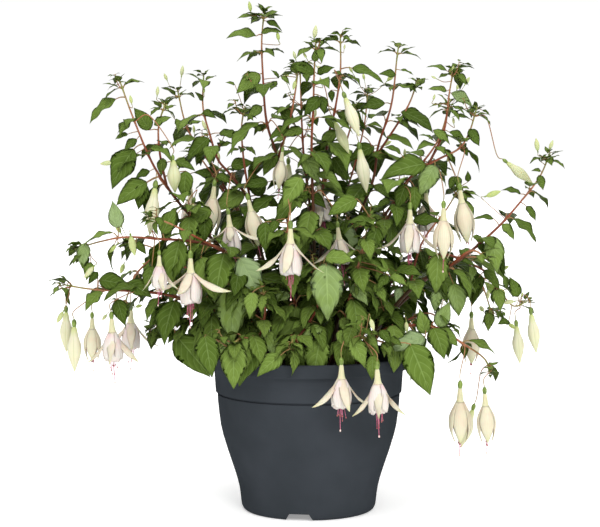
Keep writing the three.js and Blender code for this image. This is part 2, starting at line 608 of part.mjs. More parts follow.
// The trapezoid cut that lets water out under the foot ring, along +X.
function notch() {
  const foot = NOTCH_WIDTH_FOOT / 2;
  const top = NOTCH_WIDTH_TOP / 2;
  const corners = [[-foot, -1], [foot, -1], [top, NOTCH_HEIGHT], [-top, NOTCH_HEIGHT]];
  const outline = new THREE.Shape(corners.map(([x, y]) => new THREE.Vector2(x, y)));
  return new THREE.ExtrudeGeometry(outline, { depth: NOTCH_LENGTH, bevelEnabled: false })
    .rotateX(Math.PI / 2)
    .rotateZ(Math.PI / 2)
    .translate(FOOT_RADIUS - NOTCH_START, 0, 0);
}

function soil() {
  const gap = WALL + CLEARANCE;
  const bottom = FLOOR_TOP + CLEARANCE;
  const profile = [
    [0, bottom], [FLOOR_RADIUS - CLEARANCE, bottom],
    ...BODY.map(([radius, z]) => [radius - gap, z]),
    [SOIL_EDGE_RADIUS - gap, SOIL_TOP - SOIL_EDGE_DROP], [0, SOIL_TOP],
  ].map(([radius, z]) => new THREE.Vector2(radius, z));
  let solid = solidOf(new THREE.LatheGeometry(profile, POT_SIDES).rotateX(Math.PI / 2));
  const holeRadius = (STEM_FOOT_RADIUS + CLEARANCE) / Math.cos(Math.PI / HOLE_SIDES) + HOLE_ALLOWANCE;
  STEMS.forEach(({ root: [x, y] }) => {
    const hole = new THREE.CylinderGeometry(holeRadius, holeRadius, 2 * HOLE_DEPTH, HOLE_SIDES)
      .rotateX(Math.PI / 2)
      .translate(x, y, SOIL_TOP);
    solid = solid.subtract(solidOf(hole));
  });
  return solid;
}

const hangingWay = ({ lean = [0, 0] }) => new THREE.Vector3(...lean, -1).normalize();

// A woody line of a stem with its collars, from its foot up. Each collar has a frame of its own, handed on
// from the last one without a twist, and a line that stands in the soil starts upright.
function lineOf(points, { leaf, dip, spacing = 1 }, { bare, footRadius, isRooted }, draw) {
  const path = new Line(new THREE.CatmullRomCurve3(points, false, 'catmullrom', SPLINE_TENSION)
    .getPoints((points.length - 1) * SPLINE_STEPS));
  const distances = [];
  let distance = path.length - LEAF_TIP_GAP;
  while (distance > bare) {
    distances.unshift(distance);
    distance -= spacing * mix(LEAF_SPACING_FOOT, LEAF_SPACING_TIP, distance / path.length);
  }
  const phase = (Math.PI / 2) * draw();
  let side = null;
  const stationAt = (at) => {
    const { point, along } = path.at(at);
    if (at === 0 && isRooted) along.copy(UP);
    if (!side) side = Math.abs(along.z) > NEAR_PLUMB ? new THREE.Vector3(1, 0, 0) : UP.clone();
    side = side.clone().addScaledVector(along, -side.dot(along)).normalize();
    return {
      at, point, along, side, phase,
      other: along.clone().cross(side),
      radius: mix(footRadius, STEM_TIP_RADIUS, at / path.length),
      growth: Math.min(1, (path.length - at) / LEAF_GROWING_LENGTH),
      takers: [],
    };
  };
  const foot = stationAt(0);
  return { path, leaf, dip, foot, collars: distances.map(stationAt), end: stationAt(path.length) };
}

// The direction at `turn` quarter turns round a station.
function asideOf({ side, other, phase }, turn) {
  const angle = phase + (Math.PI / 2) * turn;
  return side.clone().multiplyScalar(Math.cos(angle)).addScaledVector(other, Math.sin(angle));
}

function ringAt(station, lift = 0) {
  const middle = station.point.clone().addScaledVector(station.along, lift);
  return Array.from({ length: SIDES }, (_, k) => middle.clone()
    .addScaledVector(asideOf(station, k - 0.5), station.radius));
}

// A square rod that starts with a ring of its own, for the tests of clearance.
function rodThrough(stations) {
  const skin = new Skin();
  const loops = stations.map((station) => skin.add(ringAt(station)));
  skin.close(loops[0].toReversed());
  loops.slice(1).forEach((loop, i) => skin.join(loops[i], loop));
  skin.close(loops.at(-1));
  return solidOf(skin.geometry());
}

// Gives a branch or stalk the nearest side of a collar that no leaf takes and that looks towards a point.
function takeSide({ collars }, distance, towards, taker) {
  const free = collars
    .flatMap((collar, i) => [i % 2, i % 2 + 2].map((side) => ({ collar, side })))
    .filter(({ collar, side }) => !collar.takers.some((other) => other.side === side));
  const cost = ({ collar, side }) => Math.abs(collar.at - distance)
    - COLLAR_PULL * asideOf(collar, side).dot(towards.clone().sub(collar.point).normalize());
  const { collar, side } = free.reduce((a, b) => (cost(b) < cost(a) ? b : a));
  collar.takers.push(Object.assign(taker, { side, collar }));
  return taker;
}

// The thin stalk that carries a flower: a place above the flower and one at its top.
function stalkOf(flower) {
  const along = hangingWay(flower);
  const side = new THREE.Vector3(1, 0, 0).addScaledVector(along, -along.x).normalize();
  return [STALK_DROP, CLEARANCE].map((lift) => ({
    point: vector(flower.at).addScaledVector(along, -lift),
    along,
    side,
    other: along.clone().cross(side),
    phase: 0,
    radius: STALK_RADIUS,
  }));
}

// A leafy stem: its main line, its branches and its flower stalks, each on a collar of the line it leaves.
function stemOf(row, number) {
  const draw = drawsFrom(FIRST_SEED + number);
  const foot = new THREE.Vector3(...row.root, SOIL_TOP + STEM_RISE);
  const main = lineOf([foot, ...row.path.map(vector)], row, MAIN_LINE, draw);
  const branches = (row.branches ?? []).map(({ from, path, leaf }) => {
    const points = path.map(vector);
    const taker = takeSide(main, from * main.path.length, points[0], { kind: 'branch' });
    taker.line = lineOf([taker.collar.point, ...points], { ...row, leaf }, BRANCH_LINE, draw);
    return taker.line;
  });
  const lines = [main, ...branches];
  const stalks = FLOWERS.filter(({ stem }) => stem === row.name).map((flower) => {
    const line = lines[(flower.branch ?? -1) + 1];
    const stations = stalkOf(flower);
    return takeSide(line, flower.from * line.path.length, stations[0].point, { kind: 'stalk', stations });
  });
  return { row, lines, stalks, draw };
}

// A blade that stands alone, for the tests of clearance.
function bladeSolid(blade, shift) {
  const skin = new Skin();
  const loop = skin.add(blade.root.map((point) => point.clone().add(shift)));
  skin.close(loop.toReversed());
  growBlade(skin, loop, blade);
  return solidOf(skin.geometry());
}

// A blade is clear of everything, once it has left its own stem.
function findRoom(blade, aside, owner) {
  const isOwnWood = (other) => other.owner === owner && other.group === 'wood';
  const whole = bladeSolid(blade, new THREE.Vector3());
  if (!isClear(whole, isOwnWood)) return null;
  const started = bladeSolid(blade, aside.clone().multiplyScalar(PETIOLE_START));
  return isClear(started, (other) => !isOwnWood(other), OWN_CLEARANCE) ? whole : null;
}

// A leaf on one side of a collar, bent to where there is room for it, or none.
function growLeaf(collar, side, line, owner, draw) {
  const length = line.leaf * mix(LEAF_TIP_SHARE, 1, collar.growth) * mix(...LEAF_LENGTH_RANGE, draw());
  const plainDip = line.dip * mix(LEAF_TIP_DIP_SHARE, 1, collar.growth);
  const dip = radians(plainDip + LEAF_DIP_SPREAD * (draw() - 0.5));
  const roll = LEAF_ROLL_SPREAD * (draw() - 0.5);
  const aside = asideOf(collar, side);
  const from = collar.point.clone().addScaledVector(aside, collar.radius * Math.SQRT1_2);
  BENDS.some(([turn, droop, size]) => {
    const bent = asideOf(collar, side + turn / 90);
    const frame = leafFrame({ from, along: collar.along, aside: bent, dip: dip + radians(droop), roll });
    const blade = leafBlade(frame, length * size, TEETH);
    const solid = findRoom(blade, aside, owner);
    if (!solid) return false;
    stand(solid, owner, 'leaf');
    collar.takers.push({ kind: 'leaf', side, blade });
    return true;
  });
}

// The young leaf that ends a line.
function growYoungLeaf(line, owner) {
  const { point, along } = line.end;
  const frame = leafFrame({ from: point, along, aside: along, dip: 0, roll: 0 });
  line.young = leafBlade(frame, YOUNG_LEAF_LENGTH, YOUNG_TEETH);
  stand(bladeSolid(line.young, new THREE.Vector3()), owner, 'wood');
}

// Adds to the skin a line's walls, from the loop that it starts at, and whatever its collars carry.
function growLine(skin, start, { collars, end, young }) {
  const ringOnto = (lower, points, open = []) => {
    const upper = skin.add(points);
    skin.join(skin.aligned(lower, points), upper, open);
    return upper;
  };
  let ring = start;
  collars.forEach((collar) => {
    const lower = ringOnto(ring, ringAt(collar, -COLLAR_HALF_LENGTH));
    const upper = ringOnto(lower, ringAt(collar, COLLAR_HALF_LENGTH), collar.takers.map(({ side }) => side));
    collar.takers.forEach(({ kind, side, blade, line, stations }) => {
      const next = (side + 1) % SIDES;
      const loop = [lower[side], lower[next], upper[next], upper[side]];
      if (kind === 'leaf') growBlade(skin, loop, blade);
      if (kind === 'branch') growLine(skin, loop, line);
      if (kind === 'stalk') {
        const stalkEnd = stations.reduce((last, station) => ringOnto(last, ringAt(station)), loop);
        skin.close(stalkEnd);
      }
    });
    ring = upper;
  });
  growBlade(skin, ringOnto(ring, ringAt(end)), young);
}

function stemGeometry({ lines: [main] }) {
  const skin = new Skin();
  const bottom = skin.add(ringAt(main.foot, CLEARANCE - STEM_RISE - HOLE_DEPTH));
  const foot = skin.add(ringAt(main.foot));
  skin.close(bottom.toReversed());
  skin.join(bottom, foot);
  growLine(skin, foot, main);
  return skin.geometry();
}

function pieceOf(name, geometry, material, place = [0, 0, 0]) {
  const mesh = new THREE.Mesh(geometry.translate(...place.map((value) => -value)), material);
  mesh.name = name;
  mesh.position.set(...place);
  return mesh;
}

const finish = (color, roughness) => new THREE.MeshStandardMaterial({ color, roughness, metalness: 0 });
const POT_PLASTIC = finish(0x45494e, 0.45);
const COMPOST = finish(0x33271c, 0.95);
const FOLIAGE = finish(0x6f8247, 0.6);
const PETAL = finish(0xebe9e0, 0.5);
const BUD_SKIN = finish(0xe6ebc4, 0.5);

function flowerPiece(flower) {
  const { name, kind, size, at, spin = 0 } = flower;
  const form = flowerForm(flower).scale(size, size, size);
  const mesh = pieceOf(name, form, kind === 'bud' ? BUD_SKIN : PETAL);
  mesh.quaternion
    .setFromUnitVectors(new THREE.Vector3(0, 0, -1), hangingWay(flower))
    .multiply(new THREE.Quaternion().setFromAxisAngle(UP, radians(spin)));
  mesh.position.set(...at);
  mesh.updateMatrixWorld();
  return mesh;
}

const plant = new THREE.Group();
plant.add(pieceOf('pot', geometryFrom(stand(pot(), 'pot', 'pot')), POT_PLASTIC));
plant.add(pieceOf('soil', geometryFrom(stand(soil(), 'soil', 'soil')), COMPOST));

FLOWERS.forEach((flower) => {
  const mesh = flowerPiece(flower);
  stand(solidOf(mesh.geometry.clone().applyMatrix4(mesh.matrixWorld)), flower.name, 'flower');
  plant.add(mesh);
});

const growing = STEMS.map(stemOf);
growing.forEach(({ row, lines, stalks }) => {
  lines.forEach(({ foot, collars, end }) => stand(rodThrough([foot, ...collars, end]), row.name, 'wood'));
  stalks.forEach(({ collar, stations }) => {
    const start = { ...stations[0], point: collar.point };
    stand(rodThrough([start, ...stations]), row.name, 'wood');
  });
  lines.forEach((line) => growYoungLeaf(line, row.name));
});
growing.forEach(({ row, lines, draw }) => lines.forEach((line) => line.collars.forEach((collar, i) => {
  [(i + 1) % 2, (i + 1) % 2 + 2].forEach((side) => growLeaf(collar, side, line, row.name, draw));
})));
growing.forEach((stem) => {
  plant.add(pieceOf(stem.row.name, stemGeometry(stem), FOLIAGE, [...stem.row.root, SOIL_TOP]));
});

export default plant;
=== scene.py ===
import math
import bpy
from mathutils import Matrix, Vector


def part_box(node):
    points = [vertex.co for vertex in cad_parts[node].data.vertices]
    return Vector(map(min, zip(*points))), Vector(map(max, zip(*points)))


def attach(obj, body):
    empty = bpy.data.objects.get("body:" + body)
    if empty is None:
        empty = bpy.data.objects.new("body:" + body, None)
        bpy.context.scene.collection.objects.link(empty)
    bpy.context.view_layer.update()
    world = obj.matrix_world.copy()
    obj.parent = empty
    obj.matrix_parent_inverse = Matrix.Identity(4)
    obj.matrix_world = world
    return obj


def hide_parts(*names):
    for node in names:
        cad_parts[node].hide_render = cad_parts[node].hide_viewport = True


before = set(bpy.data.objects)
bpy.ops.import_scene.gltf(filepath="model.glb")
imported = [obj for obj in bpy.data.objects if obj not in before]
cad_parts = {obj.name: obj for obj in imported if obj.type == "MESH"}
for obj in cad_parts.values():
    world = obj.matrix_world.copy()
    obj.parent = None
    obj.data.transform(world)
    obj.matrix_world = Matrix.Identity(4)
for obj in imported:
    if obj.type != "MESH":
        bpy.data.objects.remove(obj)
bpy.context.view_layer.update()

from types import SimpleNamespace

import bpy
import numpy as np
from mathutils import Vector, noise
from mathutils.kdtree import KDTree

# A white fuchsia in a dark nursery pot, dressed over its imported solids. Shapes are worked out in
# millimetres in the frame's own axes, and turned into metres where a mesh is made.
MM = 0.001
UP = np.array([0.0, 0.0, 1.0])
DOWN_THE_FLOWER = np.array([0.0, 0.0, 1.0])
NO_LENGTH = 1e-9

# The photograph's view: the lip's width in it gives the scale
PHOTO_WIDTH = 600
PHOTO_HEIGHT = 527
LIP_PIXELS = 202.6
AXIS_PIXEL = 308.7
FOCAL_PIXELS = 1690
SENSOR_WIDTH = 36
CAMERA_HEIGHT = 409
CAMERA_PITCH_DEGREES = 3.84
CAMERA_SIGHT = 50

# The studio: how bright each way looks, as [lowest, highest, its light, its light], and the lights, as
# [name, kind, place, energy, size in metres or angle in degrees]
FLOOR_REACH = 12000
SKY_ABOVE = [0.1, 0.8, 0.15, 0.98]
SKY_BEHIND = [0.9, 0.94, 0.0, 1.02]
LIGHTS_AIM_HEIGHT = 0.28
LIGHTS = [
    ["sun", "SUN", (-0.05, -0.5, 1.6), 1.6, 80],
    ["key", "AREA", (0.45, -2.2, 1.5), 24, 0.9],
]

# What several materials share
YOUNG_GREEN = np.array([156, 174, 86])
VEINS_A_SIDE = 5.5
PETAL_VEINS = 4
PETAL_DEPTH = {"Subsurface_Weight": 0.08, "Subsurface_Scale": 0.003}
PLAIN_DRAW = 0.5

# The pot, apart from what the frame gives
LIP_DEPTH = 15
LIP_ROLL = 1.6
LIP_INSIDE_INSET = 6.5
WALL = 2.4
WALL_FOOT = 13
BAND_TOP_RADIUS = 108.4
FLOOR_TOP = 7
FLOOR_UNDERSIDE = 4
FLOOR_ROUND = 3
FLOOR_MIDDLE = 0.5
FOOT_RADIUS = 72
FOOT_RING_WIDTH = 4
# The outside as [radius, height], from the heel's round to the lip's foot.
POT_BODY = [
    [75, 1.8], [76.6, 5], [77.2, 9], [78.2, 18], [79.4, 26], [81.6, 35], [84, 43], [88, 55], [92.4, 68],
    [97.6, 85], [100.4, 97], [102.4, 112], [103.6, 124], [104, 132.6], [102.8, 133.6], [102.8, 134.8],
    [106, 135.4], [106.3, 138], [107, 150], [107.8, 161.6],
]
POT_SEGMENTS = 144
SHARP_EDGE_DEGREES = 38
NOTCH_COUNT = 3
NOTCH_WIDTH_TOP = 22
NOTCH_WIDTH_FOOT = 32
NOTCH_HEIGHT = 8
NOTCH_REACH = 12
FIRST_NOTCH_DEGREES = -98.4
DRAIN_COUNT = 4
DRAIN_RADIUS = 5
DRAIN_CIRCLE_RADIUS = 46
DRAIN_SIDES = 24
DRAIN_HEIGHTS = [-5, 14]

# The soil and its crumbly top
SOIL_TOP = 166
SOIL_GAP = 1
SOIL_EDGE_DROP = 5
SOIL_RINGS = 46
SOIL_SEGMENTS = 150
POT_RADIUS_AT_SOIL = 107.4
POT_WAIST = POT_BODY[9]
SOIL_SHOULDER = 150
CRUMB_HEIGHT = 3.2
CRUMB_SINK = 3
CRUMB_SIZE = 6
CRUMB_ROUGHNESS = [0.9, 2.1, 4]
HEAP_HEIGHT = 0.5
HEAP_SIZE = 0.4

# Stems, as the solids have them
STEM_RISE = 5
STEM_TIP_RADIUS = 1
MAIN_LINE = {"bare": 40, "foot_radius": 3, "is_rooted": True}
BRANCH_LINE = {"bare": 14, "foot_radius": 1.7, "is_rooted": False}
SPLINE_STEPS = 12
SPLINE_TENSION = 0.5
NEAR_PLUMB = 0.9
STALK_DROP = 9
COLLAR_PULL = 12

# Leaves, as the solids have them
LEAF_TIP_GAP = 10
LEAF_SPACING_FOOT = 50
LEAF_SPACING_TIP = 38
LEAF_TIP_SHARE = 0.45
LEAF_GROWING_LENGTH = 130
LEAF_FORWARD_DEGREES = 28
LEAF_OUTWARD_PULL = 0.3
LEAF_LENGTH_RANGE = [0.88, 1.12]
LEAF_DIP_SPREAD = 26
LEAF_TIP_DIP_SHARE = 0.5
LEAF_ROLL_SPREAD = 0.5
LEAF_RISE_SHARE = 0.55
LEAF_HALF_WIDTH = 0.31
LEAF_SHAPE = [0.76, 0.85]
LEAF_ARCH = 0.2
PETIOLE_SHARE = 0.2
# How a leaf that would meet a flower turns, droops and shrinks, in the order of trial.
BENDS = [
    [0, 0, 1], [18, 0, 1], [-18, 0, 1], [0, 20, 1], [0, -20, 1], [30, 15, 0.92], [-30, 15, 0.92],
    [34, -18, 0.9], [-34, -18, 0.9], [0, 38, 0.85], [55, 8, 0.8], [-55, 8, 0.8], [75, 24, 0.72],
    [-75, 24, 0.72],
]
SAME_POINT = 0.1

# Draws of numbers, as the solids have them
FIRST_SEED = 41
DRAW_FACTOR = 1664525
DRAW_STEP = 1013904223
DRAW_RANGE = 2 ** 32

# The finished leaves: from what length on, how many teeth a side, and where their points lie across
LEAF_GRIDS = [
    [26, 9, [-1, -0.6, -0.2, 0, 0.2, 0.6, 1]],
    [14, 5, [-1, -0.45, 0, 0.45, 1]],
    [0, 3, [-1, -0.4, 0, 0.4, 1]],
]
TOOTH_DEPTH = 0.022
TOOTH_PLACES = [0.02, 0.72]
TOOTH_HEIGHTS = [-0.4, 1]
LEAF_ENDS = [0.004, 0.999]
LEAF_TIP_DRAW = 0.35
LEAF_LEAST_HALF_WIDTH = 0.3
LEAF_THICKNESS = 0.45
LEAF_LEAST_THICKNESS = 0.25
RIB_THICKNESS = 0.9
BLADE_RISE = 0.42
BLADE_ROLL = 0.16
LEAF_WAVE = 0.05
LEAF_WAVES = 1.2
LEAF_WAVE_LAG = 0.25
LEAF_SWAY = 0.05
LEAF_TWIST = 0.4
LEAF_TIP_CURL = 0.13
LEAF_CURL_START = 0.7
YOUNG_LEAF_YOUTH = 0.5
# How thick a leaf is as a share of the full thickness: [at no length, the length that adds a whole one].
BLADE_STURDINESS = [0.4, 60]
PETIOLE_STURDINESS = [0.45, 80]
PETIOLE_RADII = [0.9, 0.4]
PETIOLE_SINK = 0.8
PETIOLE_BOW = 0.03
PETIOLE_REACH = 0.12
PETIOLE_YOUTH = [0.82, 0.1]

# The finished stems
STEM_STEP = 4
STEM_LEAST_STEPS = 6
STEM_SIDES = 8
STEM_SINK = 12
STEM_THINNING = 0.9
STEM_TIP_THINNING = 0.85
NODE_SWELLING = 0.35
NODE_LENGTH = 3
YOUNG_WOOD_LENGTH = 230
YOUNG_WOOD_SHARE = 1.6
WOOD_YOUTH_RANGE = [0.05, 1]
WOOD_YOUTH_POWER = 1.3
BRANCH_LEAST_YOUTH = 0.3
WOOD_DRAW = 0.2
FLOWER_ROOM = 11
BUD_ROOM = 9
EXTRA_SEED = 700

# Flowers' stalks: how far each leaves its node aside, along the stem and straight, and where its knee is
STALK_WAYS = [0.5, 0.35, 0.8]
STALK_SEAT = 0.5
STALK_KNEE = [16, 0.38]
STALK_LIFT = [9, 0.2]
HANGING_LIFT = 0.55
STALK_END = 0.5
STALK_STEPS = 7
STALK_LOOK = {"radii": (0.68, 0.5), "youth": (0.66, 0.92), "draw": 0.4, "sides": 5}

# Leaves that the solids leave out. Lengths are shares of the stem's leaf where it is full-grown, and
# millimetres further up
FULL_FILLING = {"shoot_chance": 0.42, "shoot_leaf": [0.6, 0.9], "leaf": [0.6, 0.95]}
YOUNG_FILLING = {"shoot_chance": 0.2, "shoot_leaf": [11, 17], "leaf": [11, 22]}
EXTRA_LEAF_SEAT = 0.6
EXTRA_LEAF_ROLL = [-0.35, 0.35]
SIDE_LEAF_CHANCE = 0.75
SIDE_LEAF_FILL = 0.2
SIDE_LEAF_TURNS = [-0.3, 0.3]
SIDE_LEAF_DIPS = [-25, 20]
SIDE_LEAF_YOUTH = 0.25
MIDDLE_LEAF_START = 0.7
MIDDLE_LEAF_DIPS = [-20, 20]
MIDDLE_LEAF_SIZES = [0.6, 0.95]
# The cluster at a tip: how far from it each pair of leaves stands, and their length.
TIP_LEAVES = [[0, 8], [3, 11], [9, 15]]
TIP_LEAF_DIPS = [-35, 5]
TIP_LEAF_SIZES = [0.9, 1.3]
TIP_LEAF_YOUTH = 0.7

# Side shoots: the pairs of leaves as [place along it, share of the full length]
SHOOT_REACH = [16, 34]
SHOOT_FORWARD = 0.5
SHOOT_BEND = 0.5
SHOOT_END = 0.8
SHOOT_RISE = 0.25
SHOOT_STEPS = 4
SHOOT_LEAVES = [[0.5, 1.0], [0.86, 0.75], [1.0, 0.45]]
SHOOT_LEAF_SIZES = [0.85, 1.15]
SHOOT_LEAF_DIPS = [-12, 12]
SHOOT_LOOK = {"radii": (0.75, 0.45), "youth": (0.62, 0.92), "draw": 0.4, "sides": 5}

# Young buds
BUD_CHANCE = 0.5
BUD_TURN = 0.2
BUD_FORWARD = [0.6, 1.2]
BUD_STALK_LENGTHS = [20, 34]
BUD_DROOPS = [-1, 1]
TIP_BUD_TURNS = [0, 4]
TIP_BUD_LEAN = 0.6
TIP_BUD_SINK = 5
TIP_BUD_STALK_LENGTHS = [10, 18]
TIP_BUD_RISE = 0.8
BUD_BEND = 0.4
BUD_STALK_KNEE = 0.5
BUD_STALK_END = [0.75, 0.4]
BUD_STALK_STEPS = 4
BUD_STALK_LOOK = {"radii": (0.38, 0.38), "youth": (0.7, 0.95), "draw": 0.6}
SEEN_BUD_STALK_SAG = 2
SEEN_BUD_STALK_RISE = 3
SEEN_BUD_STALK_STEPS = 5
SEEN_BUD_STALK_LOOK = {"radii": (0.42, 0.42), "youth": (0.7, 0.95), "draw": 0.6}
SMALL_BUD_SIZES = [0.17, 0.27]
SMALL_BUD_YOUTH = [0.4, 1.0]
SMALL_BUD_SIDE = [0.3, 1, 0.2]
YOUNG_BUD_PROFILE = [
    [1.9, 8.4], [5.0, 12], [8.2, 18], [10.2, 26], [10.2, 34], [8.2, 43], [4.6, 51], [0.3, 58],
]

# Flowers: the solids' lengths from the stalk's end to the far end, at size 1
FULL_LENGTHS = {"open": 84, "half": 82, "bud": 58}
END_DEPTH = 1
PETAL_COUNT = 4
FLOWER_SEED = 800
OVARY_PROFILE = [[0.8, 0], [1.9, 1.2], [2.6, 3], [2.75, 5], [2.4, 7], [1.9, 8.6]]
TUBE_PROFILE = [[1.9, 8.4], [2.4, 9.8], [2.7, 12], [3.0, 15], [3.4, 19], [4.2, 22.5], [5.3, 25]]
TUBE_YOUTH = 0.25
TUBE_LOBES = {"seams": 0.04, "lobes": 8}
LEAST_RADIUS = 0.1
SEAM_GROWTH = 3
SEAM_START = 0.4
SEAM_SHARPNESS = 6

# Sepals: each runs from the tube's end by a knee to its tip in the solid
SEPAL_ROOT = 24
SEPAL_ROOT_INSET = 0.3
SEPAL_LENGTH = 44
SEPAL_KNEE = 0.45
SEPAL_GRID = [24, 7]
SEPAL_WIDTHS = [
    [0, 4.0], [0.12, 5.0], [0.3, 5.8], [0.45, 5.6], [0.62, 4.6], [0.78, 3.1], [0.9, 1.7], [1, 0.3],
]
SEPAL_FOLD = 0.28
SEPAL_UNFOLDING = 3
SEPAL_TWIST = [0.35, 1.0]
SEPAL_TWIST_SPAN = [0.1, 0.7]
SEPAL_TWIST_POWER = 1.5
SEPAL_CURL = [-2, 8]
SEPAL_CURL_START = 0.6
SEPAL_CURL_WAYS = [0.5, -0.4]
SEPAL_THICKNESS = 0.8
SEPAL_THINNING = [1.1, 0.35, 1]

# The bell of petals, which lap over each other in two layers
COROLLA_PROFILE = [[4.6, 24], [7.0, 28], [9.2, 33], [10.8, 39], [11.6, 45], [11.3, 51], [10.4, 57]]
COROLLA_TURN = 0.3
COROLLA_LAYERS = [[1, 0.5], [0, 0]]
PROFILE_STEPS = 6
PETAL_GRID = [15, 11]
PETAL_HALF_TURN = 0.98
PETAL_THICKNESS = 0.5
PETAL_LAP = 0.05
PETAL_LAYER_STEP = 0.07
PETAL_ROOT_SHARE = 0.72
PETAL_SPREADING = 2
PLEAT_DEPTH = 0.02
PLEATS = 9
FLARE = 0.9
FLARES = 2.5
WAVE_PHASES = [0, 6]
HEM_RISE = 5
HEM_DRAW = [-1.5, 1]
HEM_WAVE = 0.6

# A half-open flower's sepals, round petals that are a little narrower
CALYX_PROFILE = [[4.4, 23], [6.6, 28], [9.4, 34], [10.9, 40], [11.0, 47], [9.6, 54], [6.8, 61], [3.8, 67]]
CALYX_GRID = [22, 9]
CALYX_COVER = 0.92
CALYX_NARROWING = [1.02, 0.52]
CALYX_NARROWING_POWER = 0.7
CALYX_PARTING = [0.4, 3.4]
CALYX_PARTING_START = 0.55
CALYX_PARTING_POWER = 1.6
CALYX_RELIEF = 0.05
CALYX_YOUTH = 0.1
INNER_POINTS = 6
INNER_WIDTH = 0.8
INNER_LENGTH = 0.97
INNER_HALF_TURN = 1.0

# Stamens and pistil: how far down they reach and how far they spread, by the flower's kind
STAMEN_COUNT = 8
STAMEN_REACH = {"open": [60, 73], "half": [58, 71]}
STAMEN_SPREAD = {"open": 4.5, "half": 1.8}
STAMEN_SPREADS = [0.3, 1.2]
STAMEN_TURNS = [-0.3, 0.3]
STAMEN = {"radius": 0.27, "head": [0.7, 2.2], "head_material": "anther"}
PISTIL = {"radius": 0.38, "head": [1.0, 2.8], "head_material": "stigma"}
PISTIL_GAP = 2
PISTIL_SPREADS = [-2, 2]
THREAD_FOOT = 30
THREAD_RING = 1.8
THREAD_BENDS = [-1.2, 1.2]
THREAD_STEPS = 5
THREAD_SIDES = 5
HEAD_RINGS = 5
HEAD_SIDES = 6
HEAD_LEAST = 0.04
HEAD_OVERLAP = 0.3

# Large buds
BUD_PROFILE = [
    [1.9, 8.4], [3.0, 11], [3.8, 15], [4.6, 19], [6.4, 24], [7.8, 29], [8.0, 34], [7.1, 40], [5.2, 46],
    [2.9, 52], [1.1, 56.5], [0.25, 58],
]
BUD_SEAMS = 0.1
LARGE_BUD_SIZE = 0.8
LARGE_BUD_YOUTH = [0.0, 0.2]
SMALLER_BUD_YOUTH = 0.35


def stem_row(name, root, leaf, dip, path, *branches, **more):
    return {"name": name, "root": root, "leaf": leaf, "dip": dip, "path": path, "branches": branches, **more}


def branch_row(at, leaf, *path):
    return {"at": at, "leaf": leaf, "path": path}


